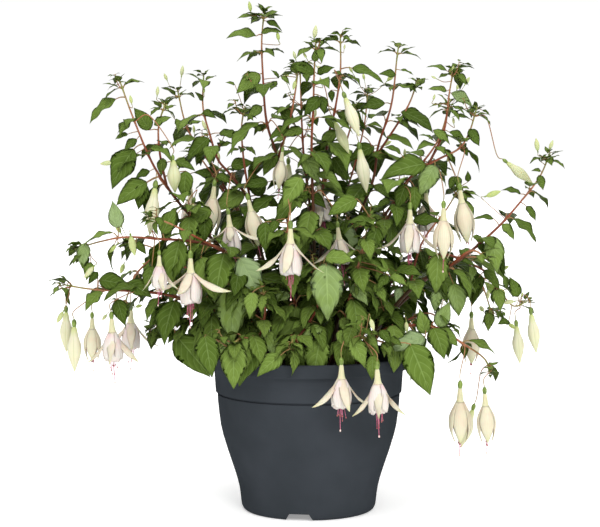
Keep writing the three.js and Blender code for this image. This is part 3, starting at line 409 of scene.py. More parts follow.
# Every leafy stem: its name, where it leaves the soil, its leaves' length and dip, the points it passes, and
# its branches, each with its place along the stem, its leaves' length and its points. Where they aren't 1,
# `fill` says how thickly the leaves that the solids leave out fill it in, and `spacing` how far apart the
# solid's pairs of leaves stand
STEMS = [
    stem_row("front_right", [24, -52], 50, 62, [[38, -86, 200], [48, -114, 214], [58, -136, 210]],
             branch_row(0.25, 50, [42, -70, 235], [55, -86, 290], [66, -94, 338]),
             branch_row(0.6, 48, [66, -106, 206], [88, -112, 200]), fill=0.7, spacing=0.42),
    stem_row("front_left", [-40, -50], 54, 66, [[-56, -78, 196], [-72, -108, 207], [-86, -128, 198]],
             branch_row(0.3, 50, [-48, -82, 232], [-50, -100, 262]), fill=1.4, spacing=0.42),
    stem_row("front_centre", [-10, -52], 52, 64, [[-12, -82, 197], [-16, -112, 208], [-21, -134, 198]],
             branch_row(0.3, 50, [8, -84, 236], [14, -100, 276]), fill=0.7, spacing=0.42),
    stem_row("trailing_left", [-54, -12], 46, 46, [[-103, -48, 226], [-151, -68, 249], [-192, -78, 255],
             [-238, -74, 257], [-270, -72, 262]],
             branch_row(0.2, 50, [-110, -40, 212], [-150, -44, 222], [-176, -48, 208])),
    stem_row("arching_left", [-34, -30], 50, 44, [[-52, -40, 214], [-69, -60, 260], [-91, -72, 297],
             [-123, -81, 309], [-162, -91, 313], [-198, -91, 315], [-226, -86, 310], [-254, -86, 302]],
             branch_row(0.52, 34, [-150, -100, 330], [-172, -112, 336])),
    stem_row("upper_left", [-22, -8], 44, 40, [[-78, -20, 270], [-117, -32, 320], [-144, -40, 350],
             [-172, -45, 392], [-194, -45, 444], [-209, -45, 486]],
             branch_row(0.6, 34, [-166, -30, 404], [-168, -22, 436], [-160, -20, 462]), fill=0.7),
    stem_row("left_crown", [-16, 18], 44, 36, [[-52, 20, 283], [-68, 25, 348], [-90, 25, 381],
             [-104, 25, 398], [-113, 25, 426], [-121, 25, 458], [-120, 25, 496]],
             branch_row(0.5, 30, [-74, 10, 398], [-76, 4, 436], [-72, 2, 458]), fill=0.5),
    stem_row("tallest", [-4, 3], 44, 32, [[-21, 0, 306], [-28, 0, 363], [-37, 0, 405], [-48, 0, 443],
             [-52, 0, 497], [-53, 0, 533], [-50, 0, 566]],
             branch_row(0.62, 36, [-22, -12, 440], [-14, -16, 482], [-13, -18, 502]), fill=0.5),
    stem_row("centre", [6, -24], 48, 40, [[6, -38, 300], [3, -32, 405], [5, -25, 457], [6, -20, 497],
             [8, -20, 530]],
             branch_row(0.12, 48, [-14, -56, 236], [-24, -84, 305], [-18, -100, 366]), fill=0.7),
    stem_row("right_of_centre", [12, 18], 44, 34, [[15, 20, 340], [22, 20, 420], [30, 15, 455],
             [36, 15, 497], [36, 15, 540]],
             branch_row(0.55, 32, [36, 34, 398], [50, 40, 440], [56, 42, 462]), fill=0.5),
    stem_row("right_crown", [25, 3], 46, 34, [[50, 28, 305], [74, 30, 374], [80, 30, 413], [95, 30, 461],
             [101, 30, 512], [103, 30, 528]],
             branch_row(0.66, 28, [112, 22, 456], [124, 16, 488]), fill=0.5),
    stem_row("right_arm", [33, -15], 46, 38, [[75, -30, 301], [93, -35, 343], [105, -38, 369],
             [121, -39, 386], [144, -39, 399], [167, -39, 411], [178, -39, 429], [186, -39, 456]],
             branch_row(0.7, 34, [150, -35, 430], [156, -31, 471], [161, -30, 500]), fill=0.6),
    stem_row("far_right", [44, -31], 42, 40, [[112, -50, 254], [145, -58, 275], [170, -59, 291],
             [207, -58, 323], [230, -54, 348], [254, -50, 378], [266, -50, 406]],
             branch_row(0.5, 40, [176, -84, 300], [192, -98, 292]), fill=0.2),
    stem_row("trailing_right", [46, 7], 42, 44, [[127, 10, 255], [166, 0, 281], [198, -5, 273],
             [218, -5, 248], [233, -5, 232], [248, -8, 238]],
             branch_row(0.35, 42, [130, 30, 300], [160, 44, 340], [176, 50, 366]), fill=0.2),
    stem_row("low_right", [57, -14], 48, 52, [[84, -62, 211], [134, -80, 216], [171, -81, 196],
             [193, -77, 180], [198, -76, 164]],
             branch_row(0.22, 50, [104, -34, 216], [136, -26, 226], [158, -24, 206]), fill=0.8),
    stem_row("back_left", [-28, 38], 46, 38, [[-60, 62, 290], [-106, 96, 376], [-144, 122, 432],
             [-158, 130, 482]],
             branch_row(0.5, 42, [-108, 84, 372], [-136, 88, 412])),
    stem_row("back_trailing_left", [-50, 22], 50, 46, [[-98, 60, 262], [-160, 96, 288], [-204, 112, 264],
             [-224, 120, 218]],
             branch_row(0.3, 46, [-140, 50, 270], [-184, 52, 296], [-214, 54, 300])),
    stem_row("back_centre", [0, 40], 48, 36, [[4, 80, 310], [-6, 108, 410], [-10, 122, 510]],
             branch_row(0.3, 42, [44, 96, 356], [66, 118, 432], [72, 126, 484])),
    stem_row("back_right", [26, 36], 46, 38, [[70, 66, 296], [118, 98, 370], [156, 122, 420],
             [172, 130, 470]],
             branch_row(0.4, 42, [118, 78, 352], [152, 84, 388])),
    stem_row("back_trailing_right", [49, 29], 50, 48, [[104, 68, 262], [166, 102, 284], [206, 116, 252],
             [224, 124, 208]],
             branch_row(0.3, 46, [148, 64, 262], [192, 62, 284], [222, 60, 268])),
    stem_row("back_low", [6, 62], 52, 58, [[10, 104, 236], [14, 131, 252], [16, 148, 226], [16, 154, 190]],
             branch_row(0.3, 48, [-42, 114, 258], [-84, 138, 264], [-100, 148, 240]),
             branch_row(0.34, 48, [62, 118, 262], [100, 140, 262])),
]

# Every flower and large bud, by the stem it hangs from: how far along, its kind, and how plump it is if that
# is unusual. The rest is in the frame
FLOWERS = {
    "trailing_left": [
        ["bud_far_left_back", 0.93, "bud"], ["bud_far_left", 0.86, "bud"],
        ["bloom_left_low_half", 0.82, "half"], ["bloom_left_low", 0.74, "open"],
    ],
    "arching_left": [["bloom_left", 0.58, "open"], ["bloom_left_high", 0.7, "open"]],
    "upper_left": [
        ["bud_upper_left", 0.66, "bud"], ["bud_upper_left_round", 0.82, "bud", 1.35],
        ["bud_left_inner", 0.58, "bud"],
    ],
    "left_crown": [["bud_left_long", 0.72, "half"], ["bloom_left_inner", 0.62, "open"]],
    "tallest": [["bud_centre_left", 0.55, "half"], ["bud_centre_high", 0.66, "half"]],
    "centre": [
        ["bloom_centre", 0.96, "open"], ["bloom_centre_right", 0.5, "open"],
        ["bud_right_of_centre", 0.82, "bud"],
    ],
    "right_of_centre": [["bloom_behind_centre", 0.58, "open"], ["bud_high_right", 0.84, "bud"]],
    "right_crown": [["bud_right_long", 0.7, "bud"]],
    "right_arm": [
        ["bloom_right", 0.56, "open"], ["bloom_right_half", 0.72, "half"],
        ["bloom_right_high", 0.82, "half"], ["bud_far_right", 0.9, "bud"],
    ],
    "trailing_right": [["bud_right_low", 0.94, "bud"], ["bud_right_low_outer", 0.96, "bud"]],
    "low_right": [
        ["bloom_low_right", 0.78, "half"], ["bud_low_right", 0.9, "bud"],
        ["bloom_low_right_outer", 0.98, "half"],
    ],
    "front_right": [["bloom_front", 0.82, "open"], ["bloom_front_right", 0.97, "open"]],
    "back_left": [["bloom_back_left", 0.7, "open"]],
    "back_trailing_left": [["bloom_back_trailing_left", 0.84, "open"]],
    "back_centre": [["bud_back_centre", 0.72, "bud"]],
    "back_right": [["bloom_back_right", 0.7, "open"]],
    "back_trailing_right": [["bud_back_trailing_right", 0.86, "half"]],
    "back_low": [["bloom_back_low", 0.86, "open"]],
}
FLOWERS_ON_FIRST_BRANCH = {"bloom_centre"}

# Single leaves as the photograph shows them, in its pixels: [base x, base y, tip x, tip y, how far the leaf's
# face is turned to the viewer in degrees, and how pale it is if that is unusual]
# A high paleness brings a leaf towards its finish's palest colour, which is partly painted sheen.
LEAVES_IN_VIEW = {
    "left": [
        [116, 99, 89, 123, 25], [134, 149, 111, 188, 50], [147, 182, 116, 204, 60], [150, 130, 134, 108, 60],
        [154, 125, 171, 117, 55], [186, 171, 184, 200, 75], [196, 139, 169, 146, 20],
        [209, 138, 187, 160, 50], [174, 161, 195, 170, 40], [128, 134, 115, 139, 40],
        [118, 228, 113, 201, 45, 1.5], [163, 234, 176, 208, 60], [85, 243, 82, 268, 60, 1.4],
        [91, 262, 86, 280, 70], [99, 280, 130, 286, 65, 0.1], [128, 282, 152, 297, 60, 0.2],
        [117, 299, 125, 325, 70, 0.1], [174, 305, 148, 326, 60], [145, 184, 138, 209, 50, 0],
        [150, 171, 135, 178, 50], [176, 211, 161, 238, 65], [203, 101, 195, 92, 40],
        [203, 111, 216, 118, 70, 0.2], [150, 150, 163, 147, 50], [137, 139, 124, 151, 50],
        [212, 176, 194, 172, 50, 0], [163, 158, 161, 176, 45], [98, 272, 88, 284, 60, 0],
        [152, 266, 146, 290, 60], [136, 242, 146, 254, 60, 0], [176, 331, 154, 339, 50],
        [176, 333, 168, 343, 55],
    ],
    "crown": [
        [265, 15, 258, 3, 20], [259, 18, 237, 17, 25], [266, 21, 282, 31, 30], [256, 36, 227, 35, 28],
        [261, 33, 282, 31, 35, 1], [260, 74, 236, 93, 70], [235, 85, 226, 82, 45], [277, 81, 270, 90, 60],
        [281, 76, 290, 84, 40], [279, 78, 271, 70, 40], [262, 106, 247, 120, 55], [294, 124, 272, 106, 30],
        [262, 131, 245, 124, 40], [303, 130, 283, 135, 65], [289, 128, 269, 139, 50],
        [320, 97, 304, 116, 65], [314, 74, 290, 64, 55], [317, 74, 334, 67, 50], [315, 62, 315, 49, 75],
        [343, 30, 352, 29, 20], [340, 34, 330, 34, 25], [343, 36, 351, 41, 45], [342, 74, 332, 73, 35],
        [343, 80, 349, 89, 30], [331, 90, 332, 102, 60], [321, 96, 325, 114, 60, 0],
        [336, 113, 355, 122, 35, 0], [326, 116, 337, 131, 60], [352, 68, 384, 83, 35],
        [396, 75, 379, 74, 50], [400, 70, 414, 75, 20], [385, 103, 360, 109, 45], [401, 112, 434, 130, 35],
        [387, 137, 414, 147, 25], [433, 130, 450, 144, 40, 1], [447, 91, 428, 89, 40],
        [452, 74, 467, 84, 35], [447, 71, 427, 66, 25], [451, 93, 473, 107, 35, 1.4],
        [470, 119, 451, 116, 20], [482, 110, 490, 115, 20], [469, 129, 479, 146, 60],
        [449, 132, 466, 140, 35], [466, 148, 466, 156, 50],
    ],
    "centre": [
        [219, 133, 241, 138, 40], [221, 146, 233, 143, 45], [231, 166, 254, 162, 75],
        [276, 153, 263, 175, 60], [262, 196, 248, 170, 60, 0.2], [268, 182, 245, 187, 60],
        [244, 193, 212, 213, 60, 1], [211, 210, 186, 226, 60], [244, 216, 230, 235, 60],
        [216, 175, 231, 183, 50], [258, 199, 280, 206, 45, 0.1], [301, 177, 283, 209, 55],
        [306, 188, 297, 208, 60], [305, 157, 319, 183, 60, 1.2], [340, 163, 327, 177, 55, 0],
        [205, 215, 205, 243, 60], [180, 240, 170, 285, 50], [305, 237, 298, 262, 60],
        [327, 225, 345, 232, 40, 0], [265, 222, 266, 252, 60, 0], [277, 220, 270, 236, 55, 0],
        [401, 154, 385, 146, 30], [370, 155, 396, 160, 30], [426, 164, 381, 177, 45, 0.4],
        [435, 165, 419, 196, 65, 1.3], [413, 221, 441, 221, 50, 0], [374, 146, 348, 162, 50, 0],
        [333, 157, 348, 182, 65, 0], [357, 199, 328, 215, 60], [327, 224, 366, 258, 50, 1.5],
        [374, 223, 348, 221, 40], [382, 228, 370, 240, 60], [377, 227, 370, 256, 60, 0],
        [374, 185, 390, 198, 45], [374, 185, 358, 198, 35], [390, 200, 376, 208, 50],
        [406, 184, 397, 210, 60, 0], [414, 186, 415, 212, 50], [400, 205, 400, 231, 55, 0.2],
        [434, 141, 420, 134, 25], [338, 114, 358, 126, 45, 0], [336, 131, 320, 148, 50],
        [455, 176, 449, 189, 70], [456, 176, 460, 190, 60],
    ],
    "right": [
        [539, 175, 543, 190, 65], [541, 171, 532, 170, 45], [545, 161, 553, 165, 20],
        [541, 162, 535, 157, 30], [542, 159, 547, 154, 30], [521, 194, 502, 189, 30],
        [468, 182, 468, 171, 75], [465, 192, 480, 197, 20], [462, 201, 474, 220, 45],
        [494, 219, 473, 219, 20], [526, 206, 536, 221, 35], [502, 224, 515, 239, 45, 1],
        [490, 236, 498, 273, 45, 1.2], [478, 244, 490, 258, 45, 0], [473, 236, 484, 243, 40],
        [474, 266, 466, 286, 50, 1.2], [462, 260, 475, 266, 40], [479, 277, 464, 299, 35],
        [453, 283, 460, 316, 35, 1.2], [484, 270, 500, 290, 40], [507, 289, 500, 271, 25],
        [518, 297, 510, 277, 65], [509, 321, 498, 324, 50, 0], [438, 254, 436, 294, 70, 0.9],
        [437, 290, 435, 312, 55, 1.3], [438, 327, 450, 302, 75, 1.3], [425, 334, 420, 309, 75, 1.1],
        [439, 329, 458, 346, 50], [427, 336, 445, 350, 55, 0],
    ],
    "front": [
        [425, 337, 389, 352, 50, 1.6], [388, 275, 377, 290, 60], [390, 275, 407, 285, 55],
        [395, 271, 421, 273, 40], [389, 270, 362, 259, 45], [390, 312, 378, 326, 60],
        [387, 313, 407, 329, 60], [400, 288, 396, 302, 70, 1.6], [375, 283, 386, 302, 55],
        [351, 283, 368, 304, 65, 1.3], [326, 263, 329, 320, 75, 1.3], [325, 258, 354, 260, 50, 1],
        [231, 285, 234, 342, 65, 1.2], [220, 314, 226, 358, 60, 1.2], [239, 258, 261, 297, 55, 1.6],
        [253, 292, 249, 318, 60, 1.1], [234, 343, 234, 389, 60, 1], [256, 338, 238, 385, 60, 0.3],
        [259, 334, 238, 349, 55, 0.4], [264, 331, 278, 357, 65, 1.2], [281, 355, 257, 376, 60],
        [296, 306, 288, 367, 65, 1], [322, 326, 303, 336, 65, 1.2], [320, 338, 313, 382, 65, 0.9],
        [290, 293, 272, 301, 65, 1.3], [338, 331, 353, 350, 60, 1], [341, 318, 356, 339, 60, 1],
        [352, 339, 365, 367, 50, 1], [373, 355, 372, 380, 55, 0.8], [380, 330, 391, 345, 50, 0],
        [207, 296, 203, 328, 60, 0.3], [222, 314, 218, 357, 60, 1], [176, 336, 209, 377, 60, 0.5],
        [205, 335, 211, 377, 65, 0.3], [201, 257, 215, 301, 70, 0.9], [410, 344, 431, 395, 70, 0.7],
    ],
}
# Small buds in the same pixels: [stalk's end x, y, tip x, y]
BUDS_IN_VIEW = {
    "front": [
        [370, 317, 374, 331], [406, 320, 407, 333],
    ],
    "crown": [
        [251, 13, 249, 1], [314, 40, 316, 25], [279, 42, 277, 31], [307, 59, 303, 52], [321, 61, 321, 52],
        [322, 85, 320, 77], [296, 79, 293, 90], [344, 50, 345, 44], [437, 79, 431, 76], [454, 125, 453, 117],
        [433, 101, 435, 94], [538, 153, 536, 138], [549, 151, 553, 140], [484, 197, 501, 191],
        [452, 72, 454, 64], [516, 301, 502, 303], [521, 297, 523, 292], [207, 131, 202, 120],
        [115, 162, 100, 164], [157, 97, 158, 86], [204, 94, 204, 87], [132, 105, 130, 95],
        [95, 265, 84, 278], [64, 310, 57, 323], [130, 233, 135, 256], [117, 244, 109, 253],
    ],
}
# Where such a leaf or bud is put: how slim it is, how the stem it grows on is searched for, and how far in
# front of the stem it is tried, at its tip and as a share of that at its foot
VIEW_LEAF_SLIMNESS = 0.97
VIEW_SEARCH_START = 12
VIEW_SEARCH_STEP = 5
VIEW_DEPTH_PULL = {"left": 0.08, "crown": 0.08, "centre": 0.12, "right": 0.08, "front": 0.3}
VIEW_DEPTHS = {"left": -4, "crown": -4, "centre": -8, "right": -4, "front": -16}
VIEW_DEPTH_TRIALS = [0, 14, -16, 28]
VIEW_FOOT_DEPTH = 0.4
LEAST_PETIOLE = 1

# The photograph's camera in millimetres: a pixel's size at the pot's axis, its place, and its directions
POT_BOX = [np.array(corner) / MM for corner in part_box("pot")]
PIXEL = (POT_BOX[1][0] - POT_BOX[0][0]) / LIP_PIXELS
PITCH = math.radians(CAMERA_PITCH_DEGREES)
CAMERA_PLACE = np.array([(PHOTO_WIDTH / 2 - AXIS_PIXEL) * PIXEL, -FOCAL_PIXELS * PIXEL, CAMERA_HEIGHT])
VIEW_RIGHT = np.array([1.0, 0, 0])
VIEW_UP = np.array([0, math.sin(PITCH), math.cos(PITCH)])
VIEW_AHEAD = np.array([0, math.cos(PITCH), -math.sin(PITCH)])


def unit(vector):
    return vector / np.linalg.norm(vector)


def mix(a, b, t):
    return a + (b - a) * t


def ramp(value, start, end):
    """How far a value is on its way from start to end, from 0 to 1."""
    return np.clip((value - start) / (end - start), 0, 1)


def stacked(*values):
    """Some grids of numbers side by side, as one grid of points."""
    return np.stack(np.broadcast_arrays(*values), axis=-1)


def turns(count):
    """Even angles round a full turn."""
    return 2 * np.pi * np.arange(count) / count


def around(angle, radius, height):
    return stacked(radius * np.cos(angle), radius * np.sin(angle), height)


def level_ways(angle):
    """The level direction at an angle, and the one a quarter turn on."""
    cos, sin = math.cos(angle), math.sin(angle)
    return np.array([cos, sin, 0]), np.array([-sin, cos, 0])


def first_side(way):
    """A direction to start from that isn't the line's own."""
    return np.array([1.0, 0, 0]) if abs(way[2]) > NEAR_PLUMB else UP


def square_to(way, side):
    """The direction nearest to `side` that is square to `way`."""
    return unit(side - way * side.dot(way))


def draws_from(seed):
    """A seeded draw of numbers from 0 to 1, as the solids have it."""
    state = seed
    while True:
        state = (state * DRAW_FACTOR + DRAW_STEP) % DRAW_RANGE
        yield state / DRAW_RANGE


def spline(points, steps=SPLINE_STEPS):
    """Points along the smooth curve through some points."""
    points = np.array(points, float)
    padded = np.vstack([2 * points[0] - points[1], points, 2 * points[-1] - points[-2]])
    t = np.arange(steps)[:, None] / steps
    spans = []
    for before, start, end, after in zip(padded, padded[1:], padded[2:], padded[3:]):
        leaving = SPLINE_TENSION * (end - before)
        arriving = SPLINE_TENSION * (after - start)
        square = 3 * (end - start) - 2 * leaving - arriving
        cube = 2 * (start - end) + leaving + arriving
        spans.append(start + leaving * t + square * t ** 2 + cube * t ** 3)
    return np.vstack([*spans, points[-1:]])


class Path:
    """A row of straight chords, read by distance from its start."""

    def __init__(self, points):
        self.points = np.array(points, float)
        chords = np.linalg.norm(np.diff(self.points, axis=0), axis=1)
        self.distances = np.concatenate([[0], np.cumsum(chords)])
        self.length = self.distances[-1]

    def at(self, distance):
        """The point at a distance, and the way the path runs there."""
        i = int(np.clip(np.searchsorted(self.distances, distance), 1, len(self.points) - 1))
        start, end = self.points[i - 1], self.points[i]
        share = (distance - self.distances[i - 1]) / (self.distances[i] - self.distances[i - 1])
        return start + (end - start) * share, unit(end - start)


# Meshes under construction

def grid_quads(ids):
    """The faces of a grid of point numbers, whose upper side looks along rows x columns."""
    corners = [ids[:-1, :-1], ids[1:, :-1], ids[1:, 1:], ids[:-1, 1:]]
    return np.stack(corners, axis=-1).reshape(-1, 4)


def wrapped(ids):
    """A grid of point numbers with its first column once more after its last."""
    return np.hstack([ids, ids[:, :1]])


def add_object(name, data):
    made = bpy.data.objects.new(name, data)
    bpy.context.scene.collection.objects.link(made)
    return made


def dress(piece, slot, *replaced):
    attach(piece, "root")
    if replaced:
        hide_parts(*replaced)


class Piece:
    """A mesh under construction, in millimetres. Every point has a place on its part of the plant, `blade`,
    and a `tone`: two numbers for the finish, such as age and a draw."""

    def __init__(self, name, *materials):
        self.name = name
        self.materials = materials
        self.points, self.blade, self.tone = [], [], []
        self.faces, self.face_materials = [], []
        self.count = 0

    def add(self, points, blade, tone, face_sets, materials):
        points = np.reshape(points, (-1, 3))
        self.points.append(points)
        for layer, values in ((self.blade, blade), (self.tone, tone)):
            layer.append(np.broadcast_to(np.reshape(values, (-1, 2)), (len(points), 2)))
        for faces, name in zip(face_sets, materials):
            self.faces.extend((faces + self.count).tolist())
            self.face_materials.extend([self.materials.index(name)] * len(faces))
        self.count += len(points)

    def build(self, slot, *replaced):
        mesh = bpy.data.meshes.new(self.name)
        mesh.from_pydata((np.vstack(self.points) * MM).tolist(), [], self.faces)
        corners = np.zeros(len(mesh.loops), np.int32)
        mesh.loops.foreach_get("vertex_index", corners)
        for name, values in (("blade", self.blade), ("tone", self.tone)):
            layer = mesh.uv_layers.new(name=name)
            layer.uv.foreach_set("vector", np.vstack(values)[corners].astype(np.float32).ravel())
        mesh.polygons.foreach_set("material_index", np.array(self.face_materials, np.int32))
        mesh.polygons.foreach_set("use_smooth", np.ones(len(mesh.polygons), bool))
        for name in self.materials:
            mesh.materials.append(MATERIALS[name])
        mesh.validate()
        dress(add_object(self.name, mesh), slot, *replaced)


def sheet(piece, top, thickness, blade, tone, materials):
    """A closed thin sheet that looks up from the grid `top`, whose rows run ahead and whose columns run
    across. Its two sides meet at the edges."""
    thickness = np.broadcast_to(thickness, top.shape[:2])[..., None]
    top, thickness, blade = (grid[:, ::-1] for grid in (top, thickness, blade))
    rows, columns, _ = top.shape
    normal = np.cross(np.gradient(top, axis=0), np.gradient(top, axis=1))
    normal /= np.maximum(np.linalg.norm(normal, axis=2, keepdims=True), NO_LENGTH)
    inner = (slice(1, -1), slice(1, -1))
    under = (top - normal * thickness)[inner].reshape(-1, 3)
    upper_ids = np.arange(rows * columns).reshape(rows, columns)
    under_ids = upper_ids.copy()
    under_ids[inner] = rows * columns + np.arange(len(under)).reshape(rows - 2, columns - 2)
    points = np.vstack([top.reshape(-1, 3), under])
    places = np.vstack([blade.reshape(-1, 2), blade[inner].reshape(-1, 2)])
    piece.add(points, places, tone, [grid_quads(upper_ids), grid_quads(under_ids)[:, ::-1]], materials)


def frames_along(points):
    """Two directions across each point of a line, handed on without a twist."""
    along = np.gradient(points, axis=0)
    along /= np.linalg.norm(along, axis=1, keepdims=True)
    sides = [first_side(along[0])]
    for way in along:
        sides.append(square_to(way, sides[-1]))
    sides = np.array(sides[1:])
    return sides, np.cross(along, sides)


def tube(piece, points, radii, tone, material, sides, blade=None, shape=None):
    """A closed round rod through some points. `shape` gives each ring's radii round the turn."""
    count = len(points)
    share = np.linspace(0, 1, count)
    first, second = frames_along(points)
    turn = turns(sides)
    wide = np.broadcast_to(np.reshape(radii, (-1, 1)), (count, sides))
    if shape is not None:
        wide = wide * shape(turn, share[:, None])
    ring = first[:, None, :] * np.cos(turn)[:, None] + second[:, None, :] * np.sin(turn)[:, None]
    skin = points[:, None, :] + ring * wide[..., None]
    ids = np.arange(count * sides).reshape(count, sides)
    faces = [grid_quads(wrapped(ids))[:, ::-1], ids[:1, ::-1], ids[-1:]]
    places = stacked((share if blade is None else blade)[:, None], turn)
    tones = np.broadcast_to(np.reshape(tone, (-1, 1, 2)), (count, sides, 2))
    piece.add(skin, places, tones, faces, [material] * 3)


def stalk_through(wood, points, radii, youth, draw, sides=4):
    """A thin stalk through some points, with its radii and its colour's youth given at its two ends."""
    count = len(points)
    tube(wood, points, np.linspace(*radii, count), stacked(np.linspace(*youth, count), draw), "stem", sides)


def make_turned(piece, seat, profile, steps, material, youth, sides, seams=0.0, lobes=4):
    """A round form along the third axis of its seat, with `lobes` shallow seams."""
    rings = spline(profile, steps)

    def seamed(turn, share):
        depth = seams * np.clip(SEAM_GROWTH * share - SEAM_START, 0, 1)
        return 1 - depth * np.abs(np.cos(turn * lobes / 2)) ** SEAM_SHARPNESS

    points = seat.at + np.outer(rings[:, 1] * seat.size, seat.axes[2])
    radii = np.maximum(rings[:, 0], LEAST_RADIUS) * seat.size
    tube(piece, points, radii, (youth, PLAIN_DRAW), material, sides, shape=seamed)


# Materials: colours are measured ones, 0 to 255, and scales are in waves a metre

def linear(red, green, blue):
    """A measured colour as the renderer wants it."""
    shares = [value / 255 for value in (red, green, blue)]
    return [v / 12.92 if v <= 0.04045 else ((v + 0.055) / 1.055) ** 2.4 for v in shares] + [1]


class Nodes:
    """A node tree under construction. Its nodes are added one by one, each fed by links or plain values."""

    def __init__(self, tree):
        self.tree = tree

    def node(self, kind, inputs, output=0, **settings):
        made = self.tree.nodes.new("ShaderNode" + kind)
        for setting, value in settings.items():
            setattr(made, setting, value)
        for socket, value in inputs.items():
            if isinstance(value, bpy.types.NodeSocket):
                self.tree.links.new(value, made.inputs[socket])
            else:
                made.inputs[socket].default_value = value
        return made.outputs[output]

    def parts(self, vector):
        """The numbers that a vector is made of."""
        return self.node("SeparateXYZ", {0: vector}).node.outputs

    def math(self, operation, *values):
        return self.node("Math", dict(enumerate(values)), operation=operation)

    def plus(self, a, b):
        return self.math("ADD", a, b)

    def minus(self, a, b):
        return self.math("SUBTRACT", a, b)

    def times(self, a, b):
        return self.math("MULTIPLY", a, b)


class Finish(Nodes):
    """A material under construction."""

    def __init__(self, name, **settings):
        self.material = bpy.data.materials.new(name)
        self.material.use_nodes = True
        super().__init__(self.material.node_tree)
        self.shader = self.tree.nodes["Principled BSDF"]
        for socket, value in settings.items():
            self.shader.inputs[socket.replace("_", " ")].default_value = value

    def set(self, socket, value):
        self.tree.links.new(value, self.shader.inputs[socket])

    def place(self, layer):
        """The two numbers of one of the piece's layers."""
        return self.parts(self.node("UVMap", {}, uv_map=layer))[:2]

    def span(self, value, low, high, start=0, end=1):
        """The value's place between two others, turned into a number between start and end."""
        sockets = {0: value, 1: low, 2: high, 3: start, 4: end}
        return self.node("MapRange", sockets, interpolation_type="SMOOTHSTEP")

    def stripes(self, value, count):
        """How far a value is from the nearest of some even lines, `count` of them from 0 to 1."""
        return self.math("PINGPONG", self.times(value, count), 0.5)

    def colours(self, share, *stops):
        """A ramp of colours, each given with its place."""
        ramp_out = self.node("ValToRGB", {0: share})
        elements = ramp_out.node.color_ramp.elements
        while len(elements) < len(stops):
            elements.new(1)
        for element, (place, colour) in zip(elements, stops):
            element.position = place
            element.color = linear(*colour)
        return ramp_out

    def blend(self, share, first, second, mode="MIX"):
        """Two colours blended, each a link or a measured colour."""
        first, second = (colour if isinstance(colour, bpy.types.NodeSocket) else linear(*colour)
                         for colour in (first, second))
        return self.node("Mix", {0: share, 6: first, 7: second}, 2, data_type="RGBA", blend_type=mode)

    def grain(self, scale, detail=3):
        """Fine unevenness in the object's own space."""
        where = self.node("TexCoord", {}, "Object")
        return self.node("TexNoise", {"Vector": where, "Scale": scale, "Detail": detail})

    def bump(self, height, strength, distance):
        self.set("Normal", self.node("Bump", {"Height": height, "Strength": strength, "Distance": distance}))


def pot_plastic():
    finish = Finish("pot_plastic", Specular_IOR_Level=0)
    cloud = finish.grain(14)
    speck = finish.grain(900, 2)
    finish.set("Base Color", finish.colours(cloud, (0.3, (50, 54, 58)), (0.7, (58, 62, 67))))
    finish.set("Roughness", finish.span(cloud, 0.3, 0.7, 0.48, 0.6))
    finish.bump(finish.plus(speck, finish.times(cloud, 1.5)), 0.25, 0.0003)
    return finish.material


def compost():
    finish = Finish("compost", Roughness=0.95, Specular_IOR_Level=0.2)
    crumbs = finish.grain(260, 6)
    browns = finish.colours(crumbs, (0.35, (22, 15, 10)), (0.55, (58, 42, 30)), (0.72, (104, 82, 60)))
    finish.set("Base Color", browns)
    finish.bump(crumbs, 0.9, 0.0015)
    return finish.material


def stem_skin():
    """Wood: brown where it is old, red further up, and green where it is young."""
    finish = Finish("stem_skin", Specular_IOR_Level=0.25, Roughness=0.5)
    age, draw = finish.place("tone")
    streaks = finish.grain(300)
    youth = finish.plus(age, finish.times(finish.minus(streaks, 0.5), 0.3))
    skin = finish.colours(
        youth, (0, (62, 34, 20)), (0.3, (92, 32, 20)), (0.55, (130, 52, 34)), (0.78, (166, 108, 80)),
        (1, (118, 138, 66)))
    finish.set("Base Color", finish.blend(finish.times(draw, 0.35), skin, (120, 134, 68)))
    finish.bump(streaks, 0.4, 0.0006)
    return finish.material


def leaf_skin(name, dark, middle, light, pale_and_sheen, vein, vein_share, roughness):
    """A leaf's side: its midrib, arching side veins and margin, and a colour drawn for each leaf, whose
    palest stop is partly painted sheen.
    """
    finish = Finish(name, Specular_IOR_Level=0.07)
    along, across = finish.place("blade")
    youth, draw = finish.place("tone")
    side = finish.math("ABSOLUTE", across)
    cloud = finish.grain(70)
    shade = finish.plus(finish.times(draw, 0.54), finish.times(cloud, 0.3))
    # The palest stop is partly the leaf's own grey-green and partly painted sheen.
    plain = finish.colours(shade, (0.18, dark), (0.5, middle), (0.76, light), (1, pale_and_sheen))
    plain = finish.blend(finish.times(youth, 0.45), plain, mix(np.array(light), YOUNG_GREEN, 0.5))
    arch = finish.times(side, finish.plus(finish.times(side, 0.26), 0.18))
    wave = finish.stripes(finish.minus(along, arch), VEINS_A_SIDE)
    side_vein = finish.span(wave, 0, 0.12, 1, 0)
    rib = finish.span(side, 0.02, 0.09, 1, 0)
    veins = finish.math("MAXIMUM", rib, finish.times(side_vein, 0.65))
    colour = finish.blend(finish.times(veins, vein_share), plain, vein, "ADD")
    edge = finish.span(side, 0.93, 1, 0, 0.2)
    finish.set("Base Color", finish.blend(edge, colour, vein, "ADD"))
    finish.set("Roughness", finish.span(cloud, 0.3, 0.7, roughness - 0.06, roughness + 0.08))
    quilting = finish.times(finish.span(wave, 0, 0.5), 0.8)
    relief = finish.plus(finish.minus(quilting, rib), finish.times(cloud, 0.5))
    finish.bump(relief, 0.8, 0.0007)
    return finish.material


